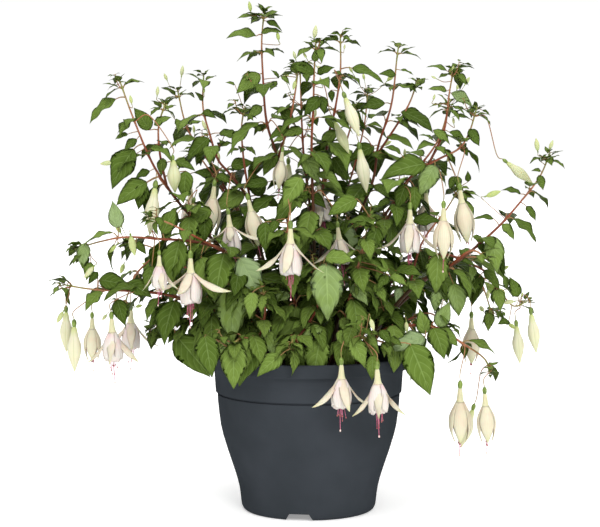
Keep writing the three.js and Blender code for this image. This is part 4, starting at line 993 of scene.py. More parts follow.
def petal_skin(name, base, flush, tip, flush_share, rim):
    """A petal or sepal: coloured along its length, with faint veins and a pink flush from its root."""
    finish = Finish(name, Specular_IOR_Level=0.3, Roughness=0.55, **PETAL_DEPTH)
    along, across = finish.place("blade")
    youth, _ = finish.place("tone")
    cloud = finish.grain(90)
    pink = finish.times(finish.span(along, 0, 0.9, 1, 0.25), flush_share)
    pink = finish.times(pink, finish.span(cloud, 0.35, 0.65, 0.4, 1.6))
    colour = finish.blend(pink, base, flush)
    colour = finish.blend(finish.span(along, 0.7, 1, 0, 0.7), colour, tip)
    colour = finish.blend(youth, colour, (206, 214, 140))
    veins = finish.span(finish.stripes(across, PETAL_VEINS), 0, 0.2, 1, 0)
    colour = finish.blend(finish.times(veins, 0.22), colour, flush)
    edge = finish.span(finish.math("ABSOLUTE", across), 0.84, 1, 0, 0.5)
    finish.set("Base Color", finish.blend(edge, colour, rim))
    finish.bump(finish.minus(cloud, veins), 0.45, 0.0005)
    return finish.material


def bud_skin():
    """A bud: green when young, cream when large, with darker seams between its sepals."""
    finish = Finish("bud_skin", Specular_IOR_Level=0.35, Roughness=0.5, **PETAL_DEPTH)
    along, turn = finish.place("blade")
    youth, _ = finish.place("tone")
    cloud = finish.grain(30)
    cream = finish.colours(
        along, (0.05, (190, 198, 130)), (0.3, (214, 210, 184)), (0.85, (210, 208, 172)), (1, (190, 198, 128)))
    green = finish.colours(cloud, (0.3, (148, 166, 82)), (0.7, (170, 186, 102)))
    seam = finish.span(finish.stripes(turn, PETAL_COUNT / 2 / math.pi), 0, 0.07, 0.4, 0)
    finish.set("Base Color", finish.blend(seam, finish.blend(youth, cream, green), (164, 172, 108)))
    finish.bump(cloud, 0.15, 0.0003)
    return finish.material


def plain_skin(name, first, second, roughness):
    """A small part's skin, mottled between two colours."""
    finish = Finish(name, Roughness=roughness, Specular_IOR_Level=0.45)
    cloud = finish.grain(220)
    finish.set("Base Color", finish.colours(cloud, (0.35, first), (0.65, second)))
    finish.bump(cloud, 0.25, 0.0004)
    return finish.material


def studio_floor():
    finish = Finish("studio_floor", Roughness=0.8, Specular_IOR_Level=0.1, Emission_Color=(1, 1, 1, 1),
                    Emission_Strength=0.3)
    cloud = finish.grain(3, 2)
    finish.set("Base Color", finish.colours(cloud, (0.2, (251, 251, 250)), (0.8, (253, 253, 253))))
    return finish.material


MATERIALS = {
    "pot": pot_plastic(),
    "compost": compost(),
    "stem": stem_skin(),
    # The leaves' palest colours are partly painted sheen.
    "leaf": leaf_skin("leaf_upper", dark=(41, 58, 4), middle=(45, 66, 5), light=(68, 88, 24),
                      pale_and_sheen=(130, 148, 110), vein=(106, 118, 76), vein_share=0.6, roughness=0.42),
    "leaf_under": leaf_skin("leaf_under", dark=(68, 88, 28), middle=(88, 110, 42), light=(110, 132, 60),
                            pale_and_sheen=(138, 158, 110), vein=(100, 114, 74), vein_share=0.5, roughness=0.6),
    "sepal": petal_skin("sepal", base=(212, 208, 184), flush=(212, 176, 160), tip=(198, 202, 146),
                        flush_share=0.35, rim=(200, 174, 148)),
    "tube": petal_skin("flower_tube", base=(212, 211, 176), flush=(214, 188, 168), tip=(216, 210, 186),
                       flush_share=0.15, rim=(202, 193, 158)),
    "petal": petal_skin("corolla", base=(216, 211, 202), flush=(218, 172, 174), tip=(216, 209, 199),
                        flush_share=0.36, rim=(216, 192, 188)),
    "bud": bud_skin(),
    "ovary": plain_skin("ovary", (84, 106, 38), (124, 146, 62), 0.4),
    "filament": plain_skin("filament", (182, 70, 106), (216, 128, 156), 0.45),
    "anther": plain_skin("anther", (140, 70, 74), (182, 110, 100), 0.7),
    "stigma": plain_skin("stigma", (232, 196, 190), (244, 222, 208), 0.5),
}


# The stems' lines and their leaves, worked out as the solids have them

def station_at(line, at, is_upright=False):
    """A place on a line with a frame of its own, handed on from the last one without a twist."""
    point, along = line.path.at(at)
    if is_upright:
        along = UP
    if line.side is None:
        line.side = first_side(along)
    line.side = square_to(along, line.side)
    return SimpleNamespace(
        at=at, point=point, along=along, side=line.side, other=np.cross(along, line.side), phase=line.phase,
        radius=mix(line.foot_radius, STEM_TIP_RADIUS, at / line.path.length),
        growth=min(1, (line.path.length - at) / LEAF_GROWING_LENGTH), takers=[])


def grow_line(points, row, leaf, draw, bare, foot_radius, is_rooted):
    """A stem's or branch's line, with a collar for each pair of leaves above its bare stretch."""
    path = Path(spline(points))
    distances = []
    distance = path.length - LEAF_TIP_GAP
    while distance > bare:
        distances.insert(0, distance)
        step = mix(LEAF_SPACING_FOOT, LEAF_SPACING_TIP, distance / path.length)
        distance -= row.get("spacing", 1) * step
    line = SimpleNamespace(path=path, leaf=leaf, dip=row["dip"], foot_radius=foot_radius, side=None)
    line.phase = math.pi / 2 * next(draw)
    # The frames start from the foot's, which no leaf stands on.
    station_at(line, 0, is_rooted)
    line.collars = [station_at(line, at) for at in distances]
    line.end = station_at(line, path.length)
    return line


def opposite(turn):
    """Two opposite sides of a station, in quarter turns."""
    return turn, turn + 2


def aside_of(station, turn):
    """The direction at some quarter turns round a station."""
    angle = station.phase + math.pi / 2 * turn
    return station.side * math.cos(angle) + station.other * math.sin(angle)


def take_side(line, distance, towards):
    """The nearest side of a collar that no leaf takes and that looks towards a point."""
    free = [(collar, side) for i, collar in enumerate(line.collars) for side in opposite(i % 2)
            if side not in collar.takers]

    def cost(choice):
        collar, side = choice
        faced = aside_of(collar, side).dot(unit(towards - collar.point))
        return abs(collar.at - distance) - COLLAR_PULL * faced

    collar, side = min(free, key=cost)
    collar.takers.append(side)
    return collar, side


def corners_of(node):
    """A CAD node's points in millimetres, each once."""
    points = np.array([vertex.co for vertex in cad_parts[node].data.vertices]) / MM
    return np.unique(points.round(3), axis=0)


def tree_of(points):
    """A tree that finds the nearest of some points."""
    tree = KDTree(len(points))
    for i, point in enumerate(points):
        tree.insert(point, i)
    tree.balance()
    return tree


def end_away_from(corners, point):
    """The middle of the corners that lie furthest from a point."""
    away = np.linalg.norm(corners - point, axis=1)
    return corners[away > away.max() - END_DEPTH].mean(axis=0)


def flower_of(name, stem, share, kind, girth=1):
    """A flower's place, axes and size, from its solid: the stalk's end, the way it hangs and its tips."""
    corners = corners_of(name)
    highest = corners[corners[:, 2].argmax()]
    far = corners[np.linalg.norm(corners - highest, axis=1).argmax()]
    at = end_away_from(corners, far)
    drop = end_away_from(corners, at) - at
    way = unit(drop)
    size = np.linalg.norm(drop) / FULL_LENGTHS[kind]
    corners = corners - at
    below = corners @ way
    outward = corners - below[:, None] * way
    reach = np.linalg.norm(outward, axis=1)
    first = unit(outward[reach.argmax()])
    axes = np.array([first, np.cross(way, first), way])
    tips = [axes @ (outward[i] + below[i] * way) / size for i in np.argsort(-reach)[:PETAL_COUNT]]
    return SimpleNamespace(name=name, stem=stem, share=share, kind=kind, girth=girth, at=at, way=way,
                           size=size, axes=axes, tips=tips)


def leaf_frame(start, along, aside, dip, roll):
    """The way a leaf lies that leaves `start` towards `aside`, on a stem that runs `along`."""
    forward = math.radians(LEAF_FORWARD_DEGREES)
    out = aside * math.cos(forward) + along * math.sin(forward)
    outward = np.array([start[0], start[1], 0.0])
    out = unit(out + LEAF_OUTWARD_PULL * outward / max(1, np.linalg.norm(outward)))
    towards, level = level_ways(math.atan2(out[1], out[0]))
    rise = LEAF_RISE_SHARE * math.asin(out[2]) - dip
    ahead = towards * math.cos(rise) + UP * math.sin(rise)
    face = np.cross(ahead, level) * math.cos(roll) + level * math.sin(roll)
    return SimpleNamespace(start=start, out=out, ahead=ahead, face=face, across=np.cross(face, ahead))


def leaf_at(bed, length):
    """A leaf of some length: its blade's first point and its tip."""
    blade = bed.start + bed.out * PETIOLE_SHARE * length
    tip = blade + bed.ahead * length - bed.face * LEAF_ARCH * length
    return SimpleNamespace(bed=bed, length=length, blade=blade, tip=tip, slim=1, tone=None)


def leaf_size(line, station):
    return line.leaf * mix(LEAF_TIP_SHARE, 1, station.growth)


def leaf_dip(line, station):
    return line.dip * mix(LEAF_TIP_DIP_SHARE, 1, station.growth)


def solid_leaf(collar, side, line, draw, tips):
    """The leaf that the solid has on a collar's side, or None: its tip is among the solid's points."""
    length = leaf_size(line, collar) * mix(*LEAF_LENGTH_RANGE, next(draw))
    dip = math.radians(leaf_dip(line, collar) + LEAF_DIP_SPREAD * (next(draw) - 0.5))
    roll = LEAF_ROLL_SPREAD * (next(draw) - 0.5)
    start = collar.point + aside_of(collar, side) * collar.radius * math.sqrt(0.5)
    for turn, droop, size in BENDS:
        aside = aside_of(collar, side + turn / 90)
        leaf = leaf_at(leaf_frame(start, collar.along, aside, dip + math.radians(droop), roll), length * size)
        if tips.find(leaf.tip)[2] < SAME_POINT:
            leaf.growth = collar.growth
            return leaf
    return None


def grow_stem(row, number):
    """A stem's lines, with their flowers' stalks and the leaves that its solid has."""
    draw = draws_from(FIRST_SEED + number)
    foot = [*row["root"], SOIL_TOP + STEM_RISE]
    main = grow_line([foot, *row["path"]], row, row["leaf"], draw, **MAIN_LINE)
    lines = [main]
    for branch in row["branches"]:
        collar, _ = take_side(main, branch["at"] * main.path.length, np.array(branch["path"][0], float))
        lines.append(grow_line([collar.point, *branch["path"]], row, branch["leaf"], draw, **BRANCH_LINE))
    stalks = []
    for flower in BLOOMS:
        if flower.stem == row["name"]:
            line = lines[1 if flower.name in FLOWERS_ON_FIRST_BRANCH else 0]
            above = flower.at - flower.way * STALK_DROP
            stalks.append([*take_side(line, flower.share * line.path.length, above), above, flower])
    tips = tree_of(corners_of(row["name"]))
    leaves = [solid_leaf(collar, side, line, draw, tips) for line in lines
              for i, collar in enumerate(line.collars) for side in opposite((i + 1) % 2)]
    wood = [line.path.at(at)[0] for line in lines
            for at in np.arange(VIEW_SEARCH_START, line.path.length, VIEW_SEARCH_STEP)]
    return SimpleNamespace(row=row, lines=lines, stalks=stalks, wood=np.array(wood), seen=[], seen_buds=[],
                           leaves=[leaf for leaf in leaves if leaf is not None])


def is_hidden(stem):
    """Whether a stem stands at the back, where the photograph doesn't show it."""
    return stem.row["name"].startswith("back")


# What the photograph shows, turned into leaves and buds in the frame

def seen_at(points):
    """The pixels at which the photograph shows some points."""
    away = points - CAMERA_PLACE
    depth = away @ VIEW_AHEAD
    return stacked(PHOTO_WIDTH / 2 + FOCAL_PIXELS * (away @ VIEW_RIGHT) / depth,
                   PHOTO_HEIGHT / 2 - FOCAL_PIXELS * (away @ VIEW_UP) / depth)


def point_seen_at(x, y, depth):
    """The point on the plane `depth` behind the pot's axis that the photograph shows at a pixel."""
    right, up = x - PHOTO_WIDTH / 2, PHOTO_HEIGHT / 2 - y
    ray = VIEW_AHEAD + (VIEW_RIGHT * right + VIEW_UP * up) / FOCAL_PIXELS
    return CAMERA_PLACE + ray * (depth - CAMERA_PLACE[1]) / ray[1]


def nearest_wood(stems, x, y, region):
    """The stem that the photograph shows nearest to a pixel, rather one in front, and its point there."""
    best = None
    for stem in stems:
        cost = np.linalg.norm(seen_at(stem.wood) - [x, y], axis=1) + VIEW_DEPTH_PULL[region] * stem.wood[:, 1]
        if best is None or cost.min() < best[0]:
            best = (cost.min(), stem, stem.wood[cost.argmin()])
    return best[1:]


def is_free(points, spare=FLOWER_ROOM):
    """Whether some points keep clear of every flower."""
    for flower in BLOOMS:
        length = FULL_LENGTHS[flower.kind] * flower.size
        away = points - flower.at
        below = np.clip(away @ flower.way, 0, length)
        if np.linalg.norm(away - below[:, None] * flower.way, axis=1).min() < spare:
            return False
    return True


def is_blade_free(blade, tip):
    """Whether a leaf's blade keeps clear of every flower."""
    return is_free(np.array([blade, (blade + tip) / 2, tip]))


def leaf_in_view(stems, region, x, y, tip_x, tip_y, tilt, tone=None):
    """A leaf that the photograph shows, on the stem that passes nearest to its foot."""
    stem, start = nearest_wood(stems, x, y, region)
    for trial in VIEW_DEPTH_TRIALS:
        depth = VIEW_DEPTHS[region] + trial
        blade = point_seen_at(x, y, start[1] + depth * VIEW_FOOT_DEPTH)
        tip = point_seen_at(tip_x, tip_y, start[1] + depth)
        if is_blade_free(blade, tip):
            break
    lean = math.radians(tilt)
    chord = tip - blade
    face = square_to(unit(chord), np.array([0, -math.sin(lean), math.cos(lean)]))
    length = np.linalg.norm(chord) / math.hypot(1, LEAF_ARCH)
    ahead = unit(chord / length + face * LEAF_ARCH)
    face = square_to(ahead, face)
    out = unit(blade - start) if np.linalg.norm(blade - start) > LEAST_PETIOLE else ahead
    bed = SimpleNamespace(start=start, out=out, ahead=ahead, face=face, across=np.cross(face, ahead))
    stem.seen.append(SimpleNamespace(bed=bed, length=length, blade=blade, slim=VIEW_LEAF_SLIMNESS, tone=tone))


def bud_in_view(stems, region, x, y, tip_x, tip_y):
    """A small bud that the photograph shows, on the stem that passes nearest to its stalk."""
    stem, start = nearest_wood(stems, x, y, region)
    depth = start[1] + VIEW_DEPTHS[region]
    stem.seen_buds.append([start, point_seen_at(x, y, depth), point_seen_at(tip_x, tip_y, depth)])


# The finished leaves and stems. A plant here is one stem's three pieces under construction and its draws

def leaf_outline(u):
    """How wide a leaf is at a share of its length, as a share of its greatest width."""
    return np.sin(np.pi * u ** LEAF_SHAPE[0]) ** LEAF_SHAPE[1] * (1 - LEAF_TIP_DRAW * u ** 4)


def leaf_surface(leaf, draws):
    """A leaf's upper side: the places along and across, the toothed width there, and the points."""
    bed, length = leaf.bed, leaf.length
    teeth, v = next((teeth, np.array(v)) for least, teeth, v in LEAF_GRIDS if length > least)
    u = np.append((np.arange(teeth)[:, None] + TOOTH_PLACES).ravel() / teeth, 1.0)[:, None]
    saw = np.append(np.tile(TOOTH_HEIGHTS, teeth), 0.0)[:, None]
    outline = leaf_outline(np.clip(u, *LEAF_ENDS))
    half = np.maximum(LEAF_HALF_WIDTH * leaf.slim * length * outline, LEAF_LEAST_HALF_WIDTH)
    side = np.abs(v)
    width = half * (1 + TOOTH_DEPTH * saw * (side == 1))
    phase, waves, curl, sway, twist = draws.uniform(size=5)
    lean = LEAF_TWIST * (2 * twist - 1) * u
    ripple = np.sin(2 * np.pi * ((LEAF_WAVES + waves) * u + phase + LEAF_WAVE_LAG * np.sign(v)))
    lift = width * (BLADE_RISE * side - BLADE_ROLL * side ** 3 + v * np.sin(lean))
    lift = lift + LEAF_WAVE * length * ripple * v ** 2 * np.sin(np.pi * u)
    droop = ramp(u, LEAF_CURL_START, 1) ** 2
    lift = lift - LEAF_ARCH * length * u ** 2 - LEAF_TIP_CURL * curl * length * droop
    drift = LEAF_SWAY * (sway - 0.5) * length * u ** 2
    top = (leaf.blade + bed.ahead * (length * u)[..., None] + bed.face * lift[..., None]
           + bed.across * (v * width * np.cos(lean) + drift)[..., None])
    return u, v, width, top


def sturdy(length, least, growing_length):
    return min(1, least + length / growing_length)


def make_leaf(plant, leaf, youth=0.0):
    """A toothed, veined leaf on its stalk, in the place and form of the solid's plain one."""
    bed, length = leaf.bed, leaf.length
    u, v, width, top = leaf_surface(leaf, plant.draws)
    thickness = np.where(v == 0, RIB_THICKNESS, LEAF_THICKNESS) * np.clip(width / 2, LEAF_LEAST_THICKNESS, 1)
    thickness = thickness * sturdy(length, *BLADE_STURDINESS)
    tone = plant.draws.uniform() if leaf.tone is None else leaf.tone
    sheet(plant.leaves, top, thickness, stacked(u, v), (youth, tone), ["leaf", "leaf_under"])
    foot = bed.start - bed.out * PETIOLE_SINK
    bow = (bed.start + leaf.blade) / 2 + UP * PETIOLE_BOW * length
    end = leaf.blade + bed.ahead * PETIOLE_REACH * length
    stalk = spline([foot, bow, leaf.blade, end], 2 if length > LEAF_GRIDS[0][0] else 1)
    radii = np.multiply(PETIOLE_RADII, sturdy(length, *PETIOLE_STURDINESS))
    foot_youth, growth = PETIOLE_YOUTH
    stalk_through(plant.wood, stalk, radii, (foot_youth, foot_youth + growth * youth), PLAIN_DRAW)


def make_wood(plant, line, is_branch):
    """A woody line with swollen nodes, brown at its foot, reddish further up and green at its tip."""
    path = line.path
    at = np.linspace(0, path.length, max(STEM_LEAST_STEPS, int(path.length / STEM_STEP)))
    points = np.array([path.at(distance)[0] for distance in at])
    if not is_branch:
        points = np.vstack([points[0] - UP * STEM_SINK, points])
        at = np.append(-STEM_SINK, at)
    tip_radius = STEM_TIP_RADIUS * STEM_TIP_THINNING
    radii = STEM_THINNING * mix(line.foot_radius, tip_radius, ramp(at, 0, path.length))
    for collar in line.collars:
        radii = radii * (1 + NODE_SWELLING * np.exp(-((at - collar.at) / NODE_LENGTH) ** 2))
    young_length = min(YOUNG_WOOD_LENGTH, YOUNG_WOOD_SHARE * path.length)
    youth = np.clip(1 - (path.length - at) / young_length, *WOOD_YOUTH_RANGE) ** WOOD_YOUTH_POWER
    if is_branch:
        youth = np.maximum(youth, BRANCH_LEAST_YOUTH)
    tube(plant.wood, points, radii, stacked(youth, WOOD_DRAW), "stem", STEM_SIDES, blade=at / path.length)


def make_flower_stalk(plant, collar, side, above, flower):
    """A thin stalk that leaves its node sideways and bends over to its flower in a wide arc."""
    aside = aside_of(collar, side)
    start = collar.point + aside * collar.radius * STALK_SEAT
    reach = np.linalg.norm(above - start)
    sideways, onward, straight = STALK_WAYS
    lean = unit(sideways * aside + onward * collar.along + straight * unit(above - start))
    lift = min(STALK_LIFT[0], STALK_LIFT[1] * reach) * (1 if above[2] > start[2] else HANGING_LIFT)
    knee = start + lean * min(STALK_KNEE[0], STALK_KNEE[1] * reach) + UP * lift
    points = spline([start, knee, above, flower.at + flower.way * STALK_END], STALK_STEPS)
    stalk_through(plant.wood, points, **STALK_LOOK)


def add_leaf(plant, station, turn, length, dip, youth=0.0):
    """One more leaf, where it keeps clear of the flowers."""
    aside = aside_of(station, turn)
    start = station.point + aside * station.radius * EXTRA_LEAF_SEAT
    roll = plant.draws.uniform(*EXTRA_LEAF_ROLL)
    leaf = leaf_at(leaf_frame(start, station.along, aside, math.radians(dip), roll), length)
    if is_blade_free(leaf.blade, leaf.tip):
        make_leaf(plant, leaf, youth)


def make_small_bud(plant, at, way, size):
    across = unit(np.cross(way, SMALL_BUD_SIDE))
    seat = SimpleNamespace(at=at, size=size, axes=np.array([across, np.cross(way, across), way]))
    youth = plant.draws.uniform(*SMALL_BUD_YOUTH)
    make_turned(plant.buds, seat, OVARY_PROFILE, 1, "ovary", youth, 8)
    make_turned(plant.buds, seat, YOUNG_BUD_PROFILE, 2, "bud", youth, 12, seams=BUD_SEAMS)


def add_small_bud(plant, start, way, length, droop):
    """A young green bud on a thin stalk that bends over, or up where `droop` is above 0."""
    bend = unit(BUD_BEND * way + UP * droop)
    onward, bent = BUD_STALK_END
    end = start + way * onward * length + bend * bent * length
    stalk = spline([start, start + way * BUD_STALK_KNEE * length, end], BUD_STALK_STEPS)
    if is_free(stalk[-1:], BUD_ROOM):
        stalk_through(plant.wood, stalk, **BUD_STALK_LOOK)
        size = plant.draws.uniform(*SMALL_BUD_SIZES)
        make_small_bud(plant, stalk[-1], unit(stalk[-1] - stalk[-2]), size)


def make_seen_bud(plant, start, base, tip):
    """A small bud with its place given, on a thin stalk that rises from the stem and bends to it."""
    way = unit(tip - base)
    sag = (start + base) / 2 - UP * SEEN_BUD_STALK_SAG
    stalk = spline([start, sag, base - way * SEEN_BUD_STALK_RISE, base + way], SEEN_BUD_STALK_STEPS)
    stalk_through(plant.wood, stalk, **SEEN_BUD_STALK_LOOK)
    make_small_bud(plant, base, way, np.linalg.norm(tip - base) / YOUNG_BUD_PROFILE[-1][1])


def add_side_shoot(plant, collar, turn, reach, size, dip):
    """A side shoot on a thin bending stalk, with three pairs of leaves."""
    way = unit(aside_of(collar, turn) + SHOOT_FORWARD * collar.along)
    end = collar.point + way * SHOOT_END * reach + UP * SHOOT_RISE * reach
    path = Path(spline([collar.point, collar.point + way * SHOOT_BEND * reach, end], SHOOT_STEPS))
    if not is_free(path.points[-3:]):
        return
    draws = plant.draws
    shoot = SimpleNamespace(path=path, foot_radius=1, side=None, phase=draws.uniform(0, math.pi))
    stalk_through(plant.wood, path.points, **SHOOT_LOOK)
    for step, (place, share) in enumerate(SHOOT_LEAVES):
        station = station_at(shoot, path.length * place)
        for pair in opposite(step):
            length = size * share * draws.uniform(*SHOOT_LEAF_SIZES)
            add_leaf(plant, station, pair, length, dip * share + draws.uniform(*SHOOT_LEAF_DIPS), 1 - share)


def fill_side(plant, line, collar, side, fill, is_budding):
    """A side shoot or two smaller leaves on a collar's free side, and where the plant buds a young bud."""
    draws = plant.draws
    is_full = collar.growth == 1
    filling, size = (FULL_FILLING, leaf_size(line, collar)) if is_full else (YOUNG_FILLING, 1)
    dip = leaf_dip(line, collar)
    if draws.uniform() < filling["shoot_chance"] * fill:
        reach = draws.uniform(*SHOOT_REACH)
        add_side_shoot(plant, collar, side, reach, size * draws.uniform(*filling["shoot_leaf"]), dip)
    elif draws.uniform() < SIDE_LEAF_CHANCE * min(1, fill + SIDE_LEAF_FILL):
        for turn in SIDE_LEAF_TURNS:
            length = size * draws.uniform(*filling["leaf"])
            tilt = dip + draws.uniform(*SIDE_LEAF_DIPS)
            add_leaf(plant, collar, side + turn, length, tilt, SIDE_LEAF_YOUTH)
    if is_budding and not is_full and draws.uniform() < BUD_CHANCE:
        way = unit(aside_of(collar, side + BUD_TURN) + collar.along * draws.uniform(*BUD_FORWARD))
        add_small_bud(plant, collar.point, way, draws.uniform(*BUD_STALK_LENGTHS), draws.uniform(*BUD_DROOPS))


def fill_middles(plant, line, fill):
    """Leaves in the middle between two collars, further down the stem where it is filled in thickly."""
    middles = [(a.at + b.at) / 2 for a, b in zip(line.collars, line.collars[1:])]
    for i, at in enumerate(middles):
        station = station_at(line, at)
        if station.growth < (2 - fill) * MIDDLE_LEAF_START:
            continue
        for side in opposite(i % 2 + 0.5):
            dip = line.dip + plant.draws.uniform(*MIDDLE_LEAF_DIPS)
            length = leaf_size(line, station) * plant.draws.uniform(*MIDDLE_LEAF_SIZES)
            add_leaf(plant, station, side, length, dip)


def fill_tip(plant, line, is_budding):
    """The cluster of young leaves at a line's tip, and a young bud where the plant buds."""
    draws = plant.draws
    for step, (drop, length) in enumerate(TIP_LEAVES):
        station = station_at(line, line.path.length - drop)
        for side in opposite(step):
            dip = draws.uniform(*TIP_LEAF_DIPS)
            add_leaf(plant, station, side, length * draws.uniform(*TIP_LEAF_SIZES), dip, TIP_LEAF_YOUTH)
    if is_budding:
        end = line.end
        way = unit(aside_of(end, draws.uniform(*TIP_BUD_TURNS)) * TIP_BUD_LEAN + end.along)
        length = draws.uniform(*TIP_BUD_STALK_LENGTHS)
        add_small_bud(plant, end.point - end.along * TIP_BUD_SINK, way, length, TIP_BUD_RISE)


def dress_stem(stem, number):
    name, fill = stem.row["name"], stem.row.get("fill", 1)
    is_budding = is_hidden(stem)
    plant = SimpleNamespace(
        wood=Piece(name + "_wood", "stem"), leaves=Piece(name + "_leaves", "leaf", "leaf_under"),
        buds=Piece(name + "_buds", "bud", "ovary"), draws=np.random.default_rng(EXTRA_SEED + number))
    for line in stem.lines:
        make_wood(plant, line, line is not stem.lines[0])
        for i, collar in enumerate(line.collars):
            for side in opposite(i % 2):
                if side not in collar.takers:
                    fill_side(plant, line, collar, side, fill, is_budding)
        fill_middles(plant, line, fill)
        fill_tip(plant, line, is_budding)
    for stalk in stem.stalks:
        make_flower_stalk(plant, *stalk)
    for leaf in stem.leaves:
        make_leaf(plant, leaf, YOUNG_LEAF_YOUTH * (1 - leaf.growth))
    for leaf in stem.seen:
        make_leaf(plant, leaf)
    for places in stem.seen_buds:
        make_seen_bud(plant, *places)
    plant.wood.build("foliage", name)
    plant.leaves.build("foliage", name)
    if plant.buds.count:
        plant.buds.build("bud")


# The finished flowers. Each holds its piece under construction and its draws

def profile_at(profile, rows):
    """A smooth profile's radii and heights at even steps, as two columns."""
    rings = spline(profile, PROFILE_STEPS)
    places = np.linspace(0, len(rings) - 1, rows)
    return [np.interp(places, np.arange(len(rings)), rings[:, axis])[:, None] for axis in (0, 1)]


def petal_grid(rows, columns):
    """The places along and across a petal."""
    return np.linspace(0, 1, rows)[:, None], np.linspace(-1, 1, columns)


def placed(flower, local):
    """Points in the flower's own axes, brought to its place."""
    return flower.at + flower.size * local @ flower.axes


def add_petal(flower, local, thickness, u, v, youth, material):
    """A thin sheet from a grid of points in the flower's own axes."""
    tone = (youth, flower.draws.uniform())
    sheet(flower.piece, placed(flower, local), thickness * flower.size, stacked(u, v), tone, [material] * 2)


def sepal_line(tip, steps):
    """A sepal's curve, from the tube's end by a knee to its tip, in its own plane of [out, below]."""
    root = np.array([TUBE_PROFILE[-1][0] - SEPAL_ROOT_INSET, SEPAL_ROOT])
    end = np.array([math.hypot(tip[0], tip[1]), tip[2]])
    chord = np.linalg.norm(end - root)
    first, second = SEPAL_KNEE * SEPAL_LENGTH, (1 - SEPAL_KNEE) * SEPAL_LENGTH
    turn = math.acos(np.clip((first ** 2 + chord ** 2 - second ** 2) / (2 * first * chord), -1, 1))
    toward = math.atan2(end[0] - root[0], end[1] - root[1])
    knee = root + first * np.array([math.sin(toward - turn), math.cos(toward - turn)])
    t = np.linspace(0, 1, steps)[:, None]
    return (1 - t) ** 2 * root + 2 * t * (1 - t) * knee + t ** 2 * end


def make_sepal(flower, tip):
    """A long pointed sepal: it flows out of the tube, keeled and twisted, and often curls at its tip."""
    draws = flower.draws
    share, v = petal_grid(*SEPAL_GRID)
    line = sepal_line(tip, len(share))
    curl = draws.uniform(*SEPAL_CURL) * ramp(share[:, 0], SEPAL_CURL_START, 1) ** 2
    line += np.multiply(SEPAL_CURL_WAYS, stacked(curl, np.abs(curl)))
    out, across = level_ways(math.atan2(tip[1], tip[0]))
    width = np.interp(share[:, 0], *np.array(SEPAL_WIDTHS).T)[:, None] * v
    tangent = np.gradient(line, axis=0)
    tangent /= np.linalg.norm(tangent, axis=1, keepdims=True)
    normal = stacked(tangent[:, 1], -tangent[:, 0])
    twist = draws.choice([-1, 1]) * draws.uniform(*SEPAL_TWIST)
    lean = twist * ramp(share, *SEPAL_TWIST_SPAN) ** SEPAL_TWIST_POWER
    hug = np.abs(width) / (2 * TUBE_PROFILE[-1][0])
    fold = mix(hug, SEPAL_FOLD, np.clip(share * SEPAL_UNFOLDING, 0, 1))
    sink = np.abs(width) * fold - width * np.sin(lean)
    plane = line[:, None, :] - normal[:, None, :] * sink[..., None]
    sideways = across * (width * np.cos(lean))[..., None]
    local = out * plane[..., :1] + sideways + DOWN_THE_FLOWER * plane[..., 1:]
    root_share, least, most = SEPAL_THINNING
    thickness = SEPAL_THICKNESS * np.clip(root_share - share, least, most)
    add_petal(flower, local, thickness, share, v, 0, "sepal")


def make_petal(flower, turn, layer, profile, half_turn):
    """One broad petal of the bell. It laps over the next one on one side and under the last on the other."""
    draws = flower.draws
    u, v = petal_grid(*PETAL_GRID)
    radius, below = profile_at(profile, len(u))
    lap = 1 + PETAL_LAP * v - PETAL_LAYER_STEP * layer
    pleat = 1 + PLEAT_DEPTH * np.cos(v * PLEATS + draws.uniform(*WAVE_PHASES)) * u
    flare = FLARE * u ** 5 * np.cos(v * FLARES + draws.uniform(*WAVE_PHASES))
    hem = -HEM_RISE * np.abs(v) ** 3 * u ** 3 + draws.uniform(*HEM_DRAW) * u
    hem = hem + HEM_WAVE * np.sin(v * PLEATS + turn) * u ** 4
    angle = turn + v * half_turn * mix(PETAL_ROOT_SHARE, 1, np.clip(u * PETAL_SPREADING, 0, 1))
    local = around(angle, radius * lap * pleat + flare, below + hem)
    add_petal(flower, local, PETAL_THICKNESS, u, v, 0, "petal")


def make_corolla(flower):
    for layer, shift in COROLLA_LAYERS:
        for k in range(PETAL_COUNT):
            turn = 2 * math.pi * (k + shift) / PETAL_COUNT + COROLLA_TURN
            make_petal(flower, turn, layer, COROLLA_PROFILE, PETAL_HALF_TURN)


def make_calyx(flower):
    """The sepals of a half-open flower: they still lap over each other, and part at their tips."""
    inner = [[radius * INNER_WIDTH, below * INNER_LENGTH] for radius, below in CALYX_PROFILE[:INNER_POINTS]]
    for k in range(PETAL_COUNT):
        make_petal(flower, 2 * math.pi * (k + 0.5) / PETAL_COUNT, 0, inner, INNER_HALF_TURN)
    share, v = petal_grid(*CALYX_GRID)
    radius, below = profile_at(CALYX_PROFILE, len(share))
    half_angle = CALYX_COVER * ramp(share, *CALYX_NARROWING) ** CALYX_NARROWING_POWER
    opening = ramp(share, CALYX_PARTING_START, 1) ** CALYX_PARTING_POWER
    for k in range(PETAL_COUNT):
        parted = flower.draws.uniform(*CALYX_PARTING) * opening
        wide = (radius + parted) * (1 + CALYX_RELIEF * (1 - np.abs(v)) + CALYX_RELIEF * (k % 2))
        local = around(2 * math.pi * k / PETAL_COUNT + v * half_angle, wide, below)
        add_petal(flower, local, SEPAL_THICKNESS, share, v, CALYX_YOUTH, "sepal")


